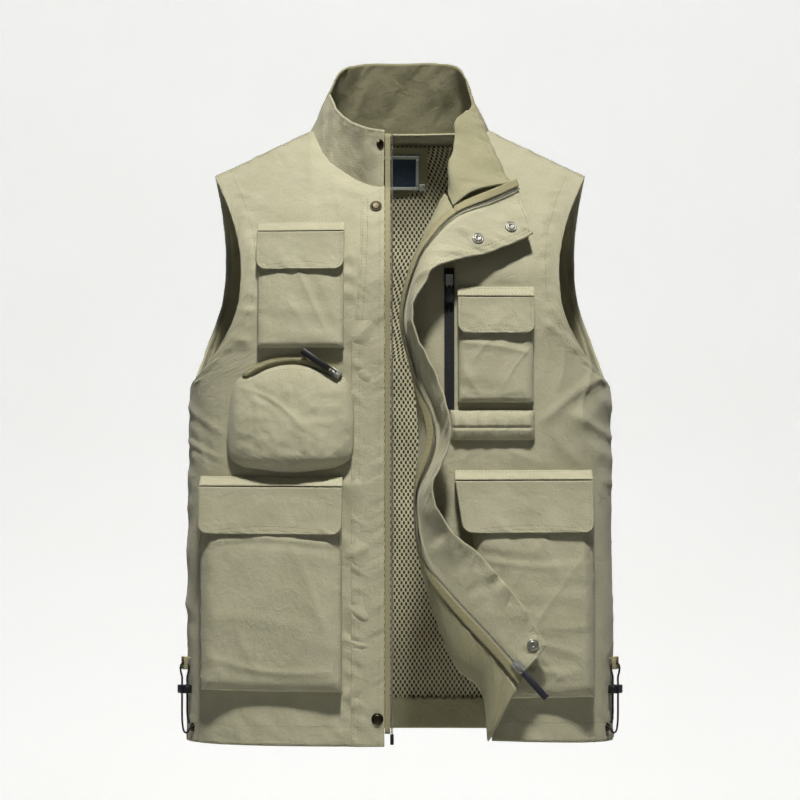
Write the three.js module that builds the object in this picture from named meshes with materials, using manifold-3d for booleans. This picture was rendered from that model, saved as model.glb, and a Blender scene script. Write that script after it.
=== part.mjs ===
// A multi-pocket fishing vest with an open front zip, as it hangs on a wearer's shoulders.
// Millimetres, +Z up. The origin is the middle of the neck opening at shoulder height; the front faces -Y
// and the wearer's right is at -X.
import * as THREE from 'three';
import { mergeVertices } from 'three/addons/utils/BufferGeometryUtils.js';
import Module from 'manifold-3d';

const wasm = await Module();
wasm.setup();

// ---------- driving dimensions ----------
const body = {
  hemZ: -682,
  armpitZ: -288,
  hemHalfWidth: 238,
  chestHalfWidth: 234,
  frontDepth: 118,
  backDepth: 112,
  squareness: 3, // exponent of the plan outline: 2 is an ellipse, more is boxier
  frontRound: 190, // height over which the chest curves back to the shoulder
  backRound: 120,
};
const shoulder = { neckHalfWidth: 99, tipX: 208, tipZ: -52, y: 5, backNeckDepth: 55 };
const neckline = { frontZ: -68, collarHeight: 65, backTopZ: 67 };
const cloth = { shell: 2, mesh: 1.2, gap: 0.7, facing: 1.6 };
const collarLean = 8; // how far the front of the collar leans out over its height
const centre = { rightEdge: 17, zipTape: 6, teethRadius: 1.4, placket: 36.7 };
const hinge = { clearance: 0.3 };
const flapThickness = 2.2;
const flapGap = 0.5; // between a flap and the pocket face under it
const pocketWall = 1.6;
const bandHeight = 10;
const snap = { radius: 5, height: 2.2, sides: 12 };
const cord = { diameter: 2.4, sides: 8, spread: 3 };
const lock = { width: 12, height: 9, length: 15, z: -624, holeClearance: 0.35, buttonTravel: 3 };
const puller = { pin: 0.55, arm: 1.2, armGap: 0.7, armLength: 9 };
const eyelet = { outer: 5, inner: 2.9, z: -666, y: -58 };

// ---------- finishes ----------
const finish = {
  shell: { color: 0xb5ae88, roughness: 0.85, metalness: 0 },
  facing: { color: 0xa39c76, roughness: 0.88, metalness: 0 },
  mesh: { color: 0x8c8664, roughness: 0.9, metalness: 0 },
  label: { color: 0x1f2f3f, roughness: 0.7, metalness: 0 },
  bronze: { color: 0x57503f, roughness: 0.4, metalness: 1 },
  steel: { color: 0xb9bab4, roughness: 0.3, metalness: 1 },
  tape: { color: 0x8a8468, roughness: 0.8, metalness: 0 },
  blackTape: { color: 0x17171a, roughness: 0.8, metalness: 0 },
  rubber: { color: 0x23242e, roughness: 0.6, metalness: 0 },
  black: { color: 0x101012, roughness: 0.6, metalness: 0 },
};
const materials = Object.fromEntries(
  Object.entries(finish).map(([name, values]) => [name, new THREE.MeshStandardMaterial(values)]),
);

const vest = new THREE.Group();
function place(name, geometry, material) {
  const mesh = new THREE.Mesh(geometry, materials[material]);
  mesh.name = name;
  vest.add(mesh);
  return mesh;
}

// ---------- small maths ----------
const { clamp, lerp, degToRad } = THREE.MathUtils;
const vec = (x, y, z) => new THREE.Vector3(x, y, z);
const steps = (count, power = 1) => Array.from({ length: count + 1 }, (_, i) => (i / count) ** power);

function smooth(points) {
  const curve = new THREE.CatmullRomCurve3(points, false, 'centripetal');
  return (t) => curve.getPoint(clamp(t, 0, 1));
}

// ---------- closed solids ----------
// A sheet between two surfaces that share a grid of u and v values.
function slab(us, vs, inner, outer) {
  const columns = us.length;
  const rows = vs.length;
  const grid = (surface) => vs.flatMap((v) => us.map((u) => surface(u, v)));
  const points = [...grid(inner), ...grid(outer)];
  const index = [];
  const at = (i, j, layer) => layer * columns * rows + j * columns + i;
  const quad = (a, b, c, d) => index.push(a, b, c, a, c, d);
  for (let j = 0; j < rows - 1; j++) {
    for (let i = 0; i < columns - 1; i++) {
      quad(at(i, j, 1), at(i + 1, j, 1), at(i + 1, j + 1, 1), at(i, j + 1, 1));
      quad(at(i, j, 0), at(i, j + 1, 0), at(i + 1, j + 1, 0), at(i + 1, j, 0));
    }
  }
  for (let i = 0; i < columns - 1; i++) {
    quad(at(i, 0, 0), at(i + 1, 0, 0), at(i + 1, 0, 1), at(i, 0, 1));
    quad(at(i, rows - 1, 1), at(i + 1, rows - 1, 1), at(i + 1, rows - 1, 0), at(i, rows - 1, 0));
  }
  for (let j = 0; j < rows - 1; j++) {
    quad(at(0, j, 1), at(0, j + 1, 1), at(0, j + 1, 0), at(0, j, 0));
    quad(at(columns - 1, j, 0), at(columns - 1, j + 1, 0), at(columns - 1, j + 1, 1), at(columns - 1, j, 1));
  }
  const geometry = new THREE.BufferGeometry().setFromPoints(points);
  geometry.setIndex(index);
  return facingOut(geometry);
}

function facingOut(geometry) {
  const position = geometry.attributes.position;
  const index = geometry.index.array;
  const corner = (i) => vec().fromBufferAttribute(position, index[i]);
  let volume = 0;
  for (let i = 0; i < index.length; i += 3) {
    volume += corner(i).dot(corner(i + 1).cross(corner(i + 2)));
  }
  if (volume < 0) {
    for (let i = 0; i < index.length; i += 3) [index[i], index[i + 1]] = [index[i + 1], index[i]];
  }
  geometry.computeVertexNormals();
  return geometry;
}

function normalAt(surface, u, v) {
  const step = 1e-3;
  const across = surface(Math.min(u + step, 1), v).sub(surface(Math.max(u - step, 0), v));
  const up = surface(u, Math.min(v + step, 1)).sub(surface(u, Math.max(v - step, 0)));
  return across.cross(up).normalize();
}

const raised = (surface, distance) => (u, v) =>
  surface(u, v).addScaledVector(normalAt(surface, u, v), distance);

const sheet = (us, vs, surface, from, to) => slab(us, vs, raised(surface, from), raised(surface, to));

function toSolid(geometry) {
  const bare = geometry.clone();
  bare.deleteAttribute('normal');
  bare.deleteAttribute('uv');
  const merged = mergeVertices(bare, 1e-4);
  return new wasm.Manifold(
    new wasm.Mesh({
      numProp: 3,
      vertProperties: new Float32Array(merged.attributes.position.array),
      triVerts: new Uint32Array(merged.index.array),
    }),
  );
}

function toGeometry(solid) {
  const mesh = solid.getMesh();
  const positions = new Float32Array(mesh.numVert * 3);
  for (let i = 0; i < mesh.numVert; i++) {
    const start = i * mesh.numProp;
    positions.set(mesh.vertProperties.subarray(start, start + 3), i * 3);
  }
  const geometry = new THREE.BufferGeometry();
  geometry.setAttribute('position', new THREE.BufferAttribute(positions, 3));
  geometry.setIndex([...mesh.triVerts]);
  geometry.computeVertexNormals();
  return geometry;
}

const join = (first, ...others) =>
  toGeometry(others.reduce((solid, other) => solid.add(toSolid(other)), toSolid(first)));
const cut = (first, ...others) =>
  toGeometry(others.reduce((solid, other) => solid.subtract(toSolid(other)), toSolid(first)));

function block([x0, x1], [y0, y1], [z0, z1]) {
  const geometry = new THREE.BoxGeometry(x1 - x0, y1 - y0, z1 - z0);
  return geometry.translate((x0 + x1) / 2, (y0 + y1) / 2, (z0 + z1) / 2);
}

function rod(radius, length, sides, axis = 'y') {
  const geometry = new THREE.CylinderGeometry(radius, radius, length, sides);
  if (axis === 'z') geometry.rotateX(Math.PI / 2);
  if (axis === 'x') geometry.rotateZ(Math.PI / 2);
  return geometry;
}

function tube(curve, radius, sides, count) {
  const section = new THREE.Shape();
  for (let i = 0; i < sides; i++) {
    const angle = (i / sides) * Math.PI * 2;
    const point = [radius * Math.cos(angle), radius * Math.sin(angle)];
    if (i) section.lineTo(...point);
    else section.moveTo(...point);
  }
  section.closePath();
  const geometry = new THREE.ExtrudeGeometry(section, { steps: count, extrudePath: curve, curveSegments: 1 });
  geometry.deleteAttribute('normal');
  geometry.deleteAttribute('uv');
  return facingOut(mergeVertices(geometry, 1e-4));
}

function frameAt(origin, xAxis, yAxis, zAxis) {
  return new THREE.Matrix4().makeBasis(xAxis, yAxis, zAxis).setPosition(origin);
}

// ---------- the torso surface ----------
const shoulderSlope = -shoulder.tipZ / (shoulder.tipX - shoulder.neckHalfWidth);
const seamGap = hinge.clearance + 0.1;

function halfWidthAt(z) {
  const t = clamp((z - body.hemZ) / (body.armpitZ - body.hemZ), 0, 1);
  return lerp(body.hemHalfWidth, body.chestHalfWidth, t);
}
const ridgeZ = (x) => -Math.max(0, Math.abs(x) - shoulder.neckHalfWidth) * shoulderSlope;

function planOutline(x, z) {
  const share = clamp(Math.abs(x) / halfWidthAt(z), 0, 1);
  return (1 - share ** body.squareness) ** (1 / body.squareness);
}

function rounding(x, z, round) {
  const s = clamp((ridgeZ(x) - z) / round, 0, 1);
  return Math.sin((s * Math.PI) / 2) ** 0.75;
}

function frontY(x, z) {
  const full = -body.frontDepth * planOutline(x, z);
  return lerp(shoulder.y, full, rounding(x, z, body.frontRound)) - seamGap;
}

function backY(x, z) {
  const full = body.backDepth * planOutline(x, z);
  const share = clamp(Math.abs(x) / shoulder.neckHalfWidth, 0, 1);
  const edge = shoulder.y + shoulder.backNeckDepth * Math.sqrt(1 - share ** 2);
  return lerp(edge, full, rounding(x, z, body.backRound)) + seamGap;
}

const onFront = (p) => vec(p.x, frontY(p.x, p.z), p.z);
const onBack = (p) => vec(p.x, backY(p.x, p.z), p.z);

// A four-sided patch in the X-Z plane, laid on the torso.
function patch({ left, right, bottom, top }, lay) {
  return (u, v) => {
    const ruled = left(v).lerp(right(v), u);
    const rows = bottom(u).lerp(top(u), v);
    const low = left(0).lerp(right(0), u);
    const high = left(1).lerp(right(1), u);
    return lay(ruled.add(rows).sub(low.lerp(high, v)));
  };
}

const line = (a, b) => (t) => a.clone().lerp(b, t);
const flipX = (p) => vec(-p.x, p.y, p.z);
const mirrored = (curve) => (t) => flipX(curve(t));

// Two curves run one after the other, the second from t = split.
const chained = (first, second, split) => (t) =>
  t < split ? first(t / split) : second((t - split) / (1 - split));

// Outlines are drawn on the wearer's left (+X) and mirrored for the right.
const armpitShare = 0.6;
const necklineShare = 0.84;
const hemCorner = vec(body.hemHalfWidth, 0, body.hemZ);
const armpit = vec(body.chestHalfWidth, 0, body.armpitZ);
const shoulderTip = vec(shoulder.tipX, 0, shoulder.tipZ);
const neckPoint = vec(shoulder.neckHalfWidth, 0, 0);
const frontArmhole = smooth([
  armpit,
  vec(205, 0, -254),
  vec(180, 0, -206),
  vec(175, 0, -152),
  vec(187, 0, -98),
  shoulderTip,
]);
const backArmhole = smooth([
  armpit,
  vec(219, 0, -240),
  vec(203, 0, -190),
  vec(199, 0, -135),
  vec(202, 0, -92),
  shoulderTip,
]);
const sideSeam = line(hemCorner, armpit);
const frontOuter = chained(sideSeam, frontArmhole, armpitShare);
const backOuter = chained(sideSeam, backArmhole, armpitShare);

const frontRows = [0, 0.1, 0.2, 0.3, 0.4, 0.5, 0.6, 0.66, 0.72, 0.78, 0.815, 0.84, 0.89, 0.93, 0.97, 1];
const facingColumn = 10; // the column where the facing takes over from the lining
const facingShare = 1 - centre.placket / (body.hemHalfWidth - centre.rightEdge);
const frontColumns = [...steps(facingColumn, 1.9).map((t) => t * facingShare), 1];
const liningColumns = frontColumns.slice(1, facingColumn + 1);
const liningRows = frontRows.slice(0, -1);
const facingColumns = frontColumns.slice(facingColumn);

// ---------- back ----------
const facingEdge = 0.42; // where the neck facing starts, as a share of the back's width
const halfColumns = [...steps(6, 1.9).map((t) => t * 0.36), facingEdge];
const backColumns = [...halfColumns, 0.5, ...halfColumns.map((t) => 1 - t).reverse()];
const backRows = [0, 0.12, 0.24, 0.36, 0.48, 0.6, 0.68, 0.76, 0.82, 0.88, 0.92, 0.95, 0.98, 1];
const neckShare = 0.26; // where the neck points fall along the top edge

function backTop(u) {
  const fromRight = u < 0.5;
  const t = fromRight ? u : 1 - u;
  const p = t < neckShare
    ? shoulderTip.clone().lerp(neckPoint, t / neckShare)
    : neckPoint.clone().lerp(vec(0, 0, 0), (t - neckShare) / (0.5 - neckShare));
  return fromRight ? flipX(p) : p;
}

const backSurface = patch(
  {
    left: mirrored(backOuter),
    right: backOuter,
    bottom: line(flipX(hemCorner), hemCorner),
    top: backTop,
  },
  onBack,
);
const backOut = (surface) => (u, v) => surface(1 - u, v); // turns the normal outwards
const backShell = backOut(backSurface);
place('back_panel', sheet(backColumns, backRows, backShell, 0, cloth.shell), 'shell');
place(
  'back_mesh_lining',
  sheet(
    backColumns.slice(1, -1),
    backRows.slice(0, -1),
    backShell,
    -cloth.gap - cloth.mesh,
    -cloth.gap,
  ),
  'mesh',
);

// Pieces sewn inside the back share its grid, so that the layers stay parallel.
const liningInside = -cloth.gap - cloth.mesh;
const facingInside = liningInside - 0.6;
place(
  'neck_facing',
  sheet(
    [facingEdge, 0.5, 1 - facingEdge],
    [0.88, 0.92, 0.95, 0.98],
    backShell,
    facingInside - cloth.facing,
    facingInside,
  ),
  'facing',
);
const label = { halfShare: 0.055, rows: [0.895, 0.92, 0.95, 0.965], thickness: 0.8 };
const labelInside = facingInside - cloth.facing - 0.9;
place(
  'neck_label',
  sheet(
    [0.5 - label.halfShare, 0.5, 0.5 + label.halfShare],
    label.rows,
    backShell,
    labelInside - label.thickness,
    labelInside,
  ),
  'label',
);
const hemFacing = { rows: [0, 0.05] };
place(
  'back_hem_facing',
  sheet(
    backColumns.slice(2, -2),
    hemFacing.rows,
    backShell,
    facingInside - cloth.facing,
    facingInside,
  ),
  'facing',
);

// ---------- wearer's right front (-X) ----------
const rightNeckline = smooth([
  vec(centre.rightEdge, 0, neckline.frontZ),
  vec(36, 0, -65),
  vec(60, 0, -52),
  vec(82, 0, -33),
  neckPoint,
]);
const rightInner = chained(
  line(vec(centre.rightEdge, 0, body.hemZ), vec(centre.rightEdge, 0, neckline.frontZ)),
  rightNeckline,
  necklineShare,
);
const rightSurface = patch(
  {
    left: mirrored(frontOuter),
    right: mirrored(rightInner),
    bottom: line(flipX(hemCorner), flipX(rightInner(0))),
    top: line(flipX(shoulderTip), flipX(neckPoint)),
  },
  onFront,
);
const bodyRows = frontRows.filter((v) => v <= necklineShare);
place('right_front_panel', sheet(frontColumns, frontRows, rightSurface, 0, cloth.shell), 'shell');
place(
  'right_front_lining',
  sheet(liningColumns, liningRows, rightSurface, -cloth.gap - cloth.mesh, -cloth.gap),
  'mesh',
);
place(
  'right_facing',
  sheet(
    facingColumns.map((u, i) => (i ? u : u + 0.01)),
    bodyRows,
    rightSurface,
    -cloth.gap - cloth.facing,
    -cloth.gap,
  ),
  'facing',
);
const overlay = cloth.shell + 0.6;
place(
  'right_placket',
  sheet(facingColumns, bodyRows, rightSurface, overlay, overlay + cloth.facing),
  'shell',
);

// The right zip: its tape stands beyond the panel's edge and carries the coil.
function rightZipPoint(x, z) {
  return vec(x, frontY(x, z) - cloth.shell / 2, z);
}
const zipLow = body.hemZ + 14;
const zipHigh = neckline.frontZ + neckline.collarHeight - 4;
const tapeFrom = -centre.rightEdge + 0.4;
const tapeTo = tapeFrom + centre.zipTape;
function rightEdgeY(z) {
  const below = frontY(0, Math.min(z, neckline.frontZ));
  const rise = clamp((z - neckline.frontZ) / neckline.collarHeight, 0, 1);
  return below - cloth.shell / 2 + rise * collarLean;
}
const zipRows = steps(16);
const tapeSurface = (u, v) => {
  const z = lerp(zipLow, zipHigh, v);
  return vec(lerp(tapeFrom, tapeTo, u), rightEdgeY(z), z);
};
place('right_zip_tape', sheet(steps(1), zipRows, tapeSurface, -0.5, 0.5), 'tape');
const teethX = tapeTo + centre.teethRadius + 0.4;
const teethPath = new THREE.CatmullRomCurve3(
  zipRows.map((v) => {
    const z = lerp(zipLow, zipHigh, v);
    return vec(teethX, rightEdgeY(z), z);
  }),
);
place('right_zip_coil', tube(teethPath, centre.teethRadius, 6, 16), 'steel');
const pinX = teethX;
place(
  'right_zip_pin',
  block(
    [pinX - 2, pinX + 2],
    [rightEdgeY(zipLow) - 1.6, rightEdgeY(zipLow) + 1.6],
    [zipLow - 12, zipLow - 0.4],
  ),
  'steel',
);

// Free-hanging edges are drawn for a front this deep, and move with it.
const drawnDepth = 118;
const drawn = (x, y, z) => vec(x, (y * body.frontDepth) / drawnDepth, z);

// ---------- collar ----------
// A collar piece hangs between rails that run along the neck: the seam, an optional roll line, the top edge.
function collarSurface(rails) {
  return (u, v) => smooth(rails.map((rail) => rail(u)))(v);
}
const seatZ = cloth.shell + 1; // the collar's lower edge stands this far above the neckline seam
const seated = (p) => vec(p.x, frontY(p.x, p.z), p.z + seatZ);
const rightSeam = smooth(
  [neckPoint, vec(82, 0, -33), vec(60, 0, -52), vec(36, 0, -65), vec(centre.rightEdge + 1, 0, neckline.frontZ)]
    .map(seated)
    .map(flipX),
);
const topAtNeck = vec(79, 4, 43);
const rightTop = smooth([
  flipX(topAtNeck),
  drawn(-70, -38, 22),
  drawn(-56, -62, 8),
  drawn(-36, -80, -1),
  vec(-centre.rightEdge - 1, collarEdgeY(), neckline.frontZ + neckline.collarHeight),
]);
function collarEdgeY() {
  return rightEdgeY(neckline.frontZ + neckline.collarHeight);
}
const collarColumns = steps(7);
const collarRows = steps(3);
const endGap = 0.006; // share of the neck length left between two collar pieces
const inset = (rail) => (t) => rail(lerp(endGap, 1, t));
const rightCollarSurface = collarSurface([inset(rightSeam), inset(rightTop)]);
place('right_collar', sheet(collarColumns, collarRows, rightCollarSurface, -1, 1), 'shell');

const backSeam = smooth([
  seated(flipX(neckPoint)),
  vec(-88, 32, 3),
  vec(-52, 54, 5),
  vec(0, 62, 5),
  vec(52, 54, 5),
  vec(88, 32, 3),
  seated(neckPoint),
]);
const backCollarTop = smooth([
  flipX(topAtNeck),
  vec(-68, 24, 60),
  vec(-42, 46, neckline.backTopZ),
  vec(0, 54, neckline.backTopZ),
  vec(42, 46, neckline.backTopZ),
  vec(68, 24, 60),
  topAtNeck,
]);
place(
  'collar_back',
  sheet(steps(12).slice(1, -1).concat([0.006, 0.994]).sort((a, b) => a - b), collarRows,
    collarSurface([backSeam, backCollarTop]), -1, 1),
  'shell',
);

// ---------- wearer's left front (+X), turned open ----------
// Rails up the open edge, hem first: the fold where the front leaves the body, the zip line, and the free
// edge of the storm flap. The last two run on past the collar seam to the collar's tip.
const foldRail = smooth([
  vec(101, 0, -676),
  vec(94, 0, -622),
  vec(66, 0, -594),
  vec(45, 0, -543),
  vec(28, 0, -477),
  vec(23, 0, -410),
  vec(26, 0, -342),
  vec(20, 0, -275),
  vec(7, 0, -215),
  vec(16, 0, -160),
  vec(34, 0, -118),
  vec(55, 0, -72),
]);
const collarStart = 11 / 13; // where the collar seam crosses the zip and flap rails
const collarFold = smooth([drawn(56, -84, -70), drawn(90, -92, -62), drawn(124, -70, -48)]);
const zipStraight = { from: drawn(60, -146, -508), to: drawn(139, -146, -594) };
const alongZip = (t) => zipStraight.to.clone().lerp(zipStraight.from, t);
const collarTip = drawn(132, -80, -76);
const zipRail = smooth([
  zipStraight.to,
  alongZip(1 / 3),
  alongZip(2 / 3),
  zipStraight.from,
  drawn(30, -142, -470),
  drawn(21, -140, -410),
  drawn(44, -142, -338),
  drawn(20, -141, -270),
  drawn(8, -140, -212),
  drawn(24, -138, -150),
  drawn(45, -130, -122),
  drawn(66, -122, -105),
  drawn(98, -104, -92),
  collarTip,
]);
const flapRail = smooth([
  drawn(160, -142, -570),
  drawn(131, -146, -522),
  drawn(109, -150, -496),
  drawn(84, -154, -468),
  drawn(58, -158, -446),
  drawn(36, -164, -405),
  drawn(57, -160, -336),
  drawn(36, -162, -272),
  drawn(12, -166, -214),
  drawn(34, -160, -162),
  drawn(58, -148, -150),
  drawn(88, -136, -144),
  drawn(118, -122, -134),
  drawn(146, -108, -120),
]);

const leftNeckline = smooth([foldRail(1), vec(72, 0, -48), vec(86, 0, -28), neckPoint]);
const leftInner = chained(foldRail, leftNeckline, necklineShare);
const leftSurface = patch(
  {
    left: leftInner,
    right: frontOuter,
    bottom: line(leftInner(0), hemCorner),
    top: line(neckPoint, shoulderTip),
  },
  onFront,
);
const leftColumns = frontColumns.map((t) => 1 - t).reverse();
place('left_front_panel', sheet(leftColumns, frontRows, leftSurface, 0, cloth.shell), 'shell');
place(
  'left_front_lining',
  sheet(leftColumns.slice(0, -1), liningRows, leftSurface, -cloth.gap - cloth.mesh, -cloth.gap),
  'mesh',
);

// The turned-out edge, across from the fold (s = 0) to the zip line (s = 1) and the flap's edge (s = 2).
const leaving = 20; // how far the fold stands forward before it turns over
function turnStart(t) {
  if (t > collarStart) return collarFold((t - collarStart) / (1 - collarStart));
  const fold = foldRail(t / collarStart);
  return vec(fold.x - cloth.shell - 2.4, frontY(fold.x, fold.z) - 2.9, fold.z);
}
function turnout(s, t) {
  const zip = zipRail(t);
  if (s > 1) return zip.lerp(flapRail(t), s - 1);
  const start = turnStart(t);
  const stand = leaving * clamp((collarStart - t) * 12, 0, 1);
  const middle = start.clone().lerp(zip, 0.1).add(vec(0, -stand, 0));
  return new THREE.QuadraticBezierCurve3(start, middle, zip).getPoint(s);
}
const tapeWidth = 11;
const tapeShare = (t) => 1 - tapeWidth / turnStart(t).distanceTo(zipRail(t));
const placketRows = steps(22).map((t) => t * (collarStart - 0.004));
const edgeRows = [...placketRows, ...steps(3).map((t) => lerp(collarStart + 0.004, 1, t))];
const towardsEdge = (from, to) => (u, v) => turnout(lerp(from(v), to(v), u), v);
const constant = (value) => () => value;
const seamShare = (t) => tapeShare(t) - 0.03;
place(
  'left_placket',
  sheet(steps(4), placketRows, towardsEdge(constant(0), seamShare), -1, 1),
  'shell',
);
place(
  'left_facing',
  sheet(steps(4), placketRows, towardsEdge(constant(0.12), (t) => seamShare(t) - 0.02), 1.5, 1.5 + cloth.facing),
  'facing',
);
const flapStart = 0.3; // share of the storm flap that lies behind the tape
const stormSurface = (u, v) =>
  turnout(u < flapStart ? lerp(tapeShare(v), 1, u / flapStart) : 1 + (u - flapStart) / (1 - flapStart), v);
place('left_storm_flap', sheet([0, flapStart, 0.65, 1], edgeRows, stormSurface, -1, 1), 'shell');
const tapeLift = 1.5 + cloth.facing + 0.6;
const coilInset = 5.5; // the tape stops this far inside the zip line, to leave room for the coil
const shareInside = (t, distance) => 1 - distance / turnStart(t).distanceTo(zipRail(t));
const leftTape = towardsEdge(
  (t) => shareInside(t, tapeWidth + 1.5),
  (t) => shareInside(t, coilInset),
);
place('left_zip_tape', sheet(steps(1), edgeRows, leftTape, tapeLift, tapeLift + 1), 'tape');
const teethLift = tapeLift + 0.5;
const teethSpot = (t) => raised(leftTape, teethLift)(1, t).lerp(raised(leftTape, teethLift)(0, t), -0.28);
const leftTeeth = new THREE.CatmullRomCurve3([0.006, ...edgeRows.slice(1)].map(teethSpot));
place('left_zip_coil', tube(leftTeeth, centre.teethRadius, 6, 34), 'steel');

const leftSeam = smooth([
  ...[neckPoint, vec(86, 0, -28), vec(72, 0, -48)].map(seated),
  drawn(55, -82, -66),
  drawn(62, -117, -91),
]);
const leftRoll = smooth([
  drawn(90, 5, 24),
  drawn(66, -28, 14),
  drawn(60, -58, -22),
  drawn(58, -84, -52),
  drawn(94, -100, -78),
]);
const leftTop = smooth([
  topAtNeck,
  drawn(90, -14, 14),
  drawn(106, -42, -26),
  drawn(121, -62, -58),
  drawn(128, -76, -62),
]);
place(
  'left_collar',
  sheet(
    steps(9).map((t) => t * 0.93),
    steps(5),
    collarSurface([inset(leftSeam), inset(leftRoll), inset(leftTop)]),
    -1,
    1,
  ),
  'shell',
);

// ---------- snaps ----------
function lathe(profile, sides) {
  const geometry = new THREE.LatheGeometry(profile.map(([r, y]) => new THREE.Vector2(r, y)), sides);
  geometry.deleteAttribute('normal');
  geometry.deleteAttribute('uv');
  const merged = mergeVertices(geometry, 1e-4);
  const index = [];
  for (let i = 0; i < merged.index.count; i += 3) {
    const [a, b, c] = [0, 1, 2].map((k) => merged.index.getX(i + k));
    if (a !== b && b !== c && a !== c) index.push(a, b, c);
  }
  merged.setIndex(index);
  return facingOut(merged);
}
const capProfile = [[0, 0], [5, 0], [5, 0.9], [3.8, 1.9], [2.4, 1.5], [0, 1.7]];
const socketProfile = [[0, 0], [5, 0], [5, 1.2], [4, 2], [2.4, 2], [1.9, 0.9], [0, 0.9]];
const snapScale = snap.radius / 5;
function snapOn(name, profile, point, normal) {
  const geometry = lathe(profile.map(([r, y]) => [r * snapScale, y]), snap.sides);
  const turn = new THREE.Quaternion().setFromUnitVectors(vec(0, 1, 0), normal);
  geometry.applyQuaternion(turn);
  const seat = point.clone().addScaledVector(normal, hinge.clearance);
  geometry.translate(seat.x, seat.y, seat.z);
  place(name, geometry, profile === capProfile ? 'bronze' : 'steel');
}
const placketFace = overlay + cloth.facing;
function capOnPlacket(name, u, v) {
  snapOn(name, capProfile, raised(rightSurface, placketFace)(u, v), normalAt(rightSurface, u, v));
}
capOnPlacket('right_snap_chest', 0.94, 0.815);
capOnPlacket('right_snap_hem', 0.965, 0.042);
snapOn(
  'right_snap_collar',
  capProfile,
  raised(rightCollarSurface, 1)(0.93, 0.74),
  normalAt(rightCollarSurface, 0.93, 0.74),
);
const wholeEdge = (u, v) => turnout(2 * u, v);
function socketOnFlap(name, s, t, lift) {
  snapOn(name, socketProfile, raised(wholeEdge, 1 + lift)(s / 2, t), normalAt(wholeEdge, s / 2, t));
}
socketOnFlap('left_snap_collar', 1.62, 0.95, 0.4);
socketOnFlap('left_snap_chest', 1.6, 0.86, 0);
socketOnFlap('left_snap_hem', 1.6, 0.02, 0);

// ---------- pockets ----------
// A pocket is drawn between x and z limits; stand is how far its face is held off the front at the corners.
const pocketSeat = cloth.shell + 0.8;
function pocketSpot(x, z, off) {
  const slope = frontY(x + 0.5, z) - frontY(x - 0.5, z);
  return vec(x, frontY(x, z) - pocketSeat * Math.hypot(1, slope) - off, z);
}

function flatFace({ x, z, stand, bottomX = x }) {
  const limits = [bottomX, x];
  const corner = (i, j) => pocketSpot(limits[j][i], z[j], stand[j][i]);
  const low = line(corner(0, 0), corner(1, 0));
  const high = line(corner(0, 1), corner(1, 1));
  return (u, v) => low(u).lerp(high(u), v);
}

// Lowers a face towards the cloth behind it along its sides and its bottom edge.
const rise = (t, width) => 1 - (1 - clamp(t / width, 0, 1)) ** 2;
function rounded(face, { side = 0.13, bottom = 0.12, edge = 0.4 } = {}) {
  return (u, v) => {
    const p = face(u, v);
    const floor = pocketSpot(p.x, p.z, 0).y;
    const share = lerp(edge, 1, rise(Math.min(u, 1 - u), side) * rise(v, bottom));
    return vec(p.x, lerp(floor, p.y, share), p.z);
  };
}
const against = (face) => (u, v) => {
  const p = face(u, v);
  return pocketSpot(p.x, p.z, 0);
};

function hollow(us, vs, face, isOpen) {
  const back = against(face);
  const sideWall = pocketWall / back(0, 0).distanceTo(back(1, 0));
  const endWall = pocketWall / back(0, 0).distanceTo(back(0, 1));
  const top = vs[vs.length - 1];
  const within = (u, v) => face(u, v).add(vec(0, pocketWall, 0));
  const behind = (u, v) => back(u, v).add(vec(0, pocketWall, 0));
  const innerTop = isOpen ? top + endWall : top - endWall;
  return cut(
    slab(us, vs, back, face),
    slab(
      us.map((u) => lerp(sideWall, 1 - sideWall, u)),
      vs.map((v) => lerp(endWall, innerTop, v / top)),
      behind,
      within,
    ),
  );
}

const trayColumns = [0, 0.03, 0.08, 0.14, 0.24, 0.4, 0.6, 0.76, 0.86, 0.92, 0.97, 1];
const trayRows = [0, 0.05, 0.13, 0.38, 0.62, 0.82, 1];
const bandLift = 1.5;
const flapCorner = 10;
const mouthDrop = 12; // from the flap's hinge line down to the pocket's mouth

function flapPocket(name, pocket) {
  const { x, z, flap, drop } = pocket;
  const face = flatFace(pocket);
  const top = 1 - mouthDrop / (z[1] - z[0]);
  place(
    `${name}_pocket`,
    hollow(trayColumns, trayRows.map((v) => v * top), rounded(face), true),
    'shell',
  );
  // The flap and the band above it lie on the same plane, which runs on past the pocket's sides.
  const uAt = (value) => (value - x[0]) / (x[1] - x[0]);
  const [flapLeft, flapRight] = flap.map(uAt);
  const tall = z[1] - z[0];
  const dropShare = drop / tall;
  const cornerInset = (d) => (d < flapCorner ? flapCorner - Math.sqrt(flapCorner ** 2 - (flapCorner - d) ** 2) : 0);
  const flapAt = (off) => (u, v) => {
    const insetShare = cornerInset(v * drop) / (x[1] - x[0]);
    const across = lerp(flapLeft + insetShare, flapRight - insetShare, u);
    return face(across, 1 - dropShare * (1 - v)).add(vec(0, -off, 0));
  };
  const flapRows = [0, 0.15, 0.5, 1].map((share) => (share * flapCorner) / drop).concat(1);
  place(
    `${name}_flap`,
    slab(steps(4), flapRows, flapAt(flapGap), flapAt(flapGap + flapThickness)),
    'shell',
  );
  const bandBack = (u, v) => {
    const p = face(lerp(flapLeft, flapRight, u), 1);
    return pocketSpot(p.x, z[1] + bandLift + v * bandHeight, 0);
  };
  const bandFront = (u, v) => {
    const hingeY = face(lerp(flapLeft, flapRight, u), 1).y - flapGap - flapThickness;
    const p = bandBack(u, v);
    return vec(p.x, lerp(hingeY, p.y - cloth.facing, v), p.z);
  };
  place(`${name}_band`, slab(steps(10), steps(2), bandBack, bandFront), 'shell');
}

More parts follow.
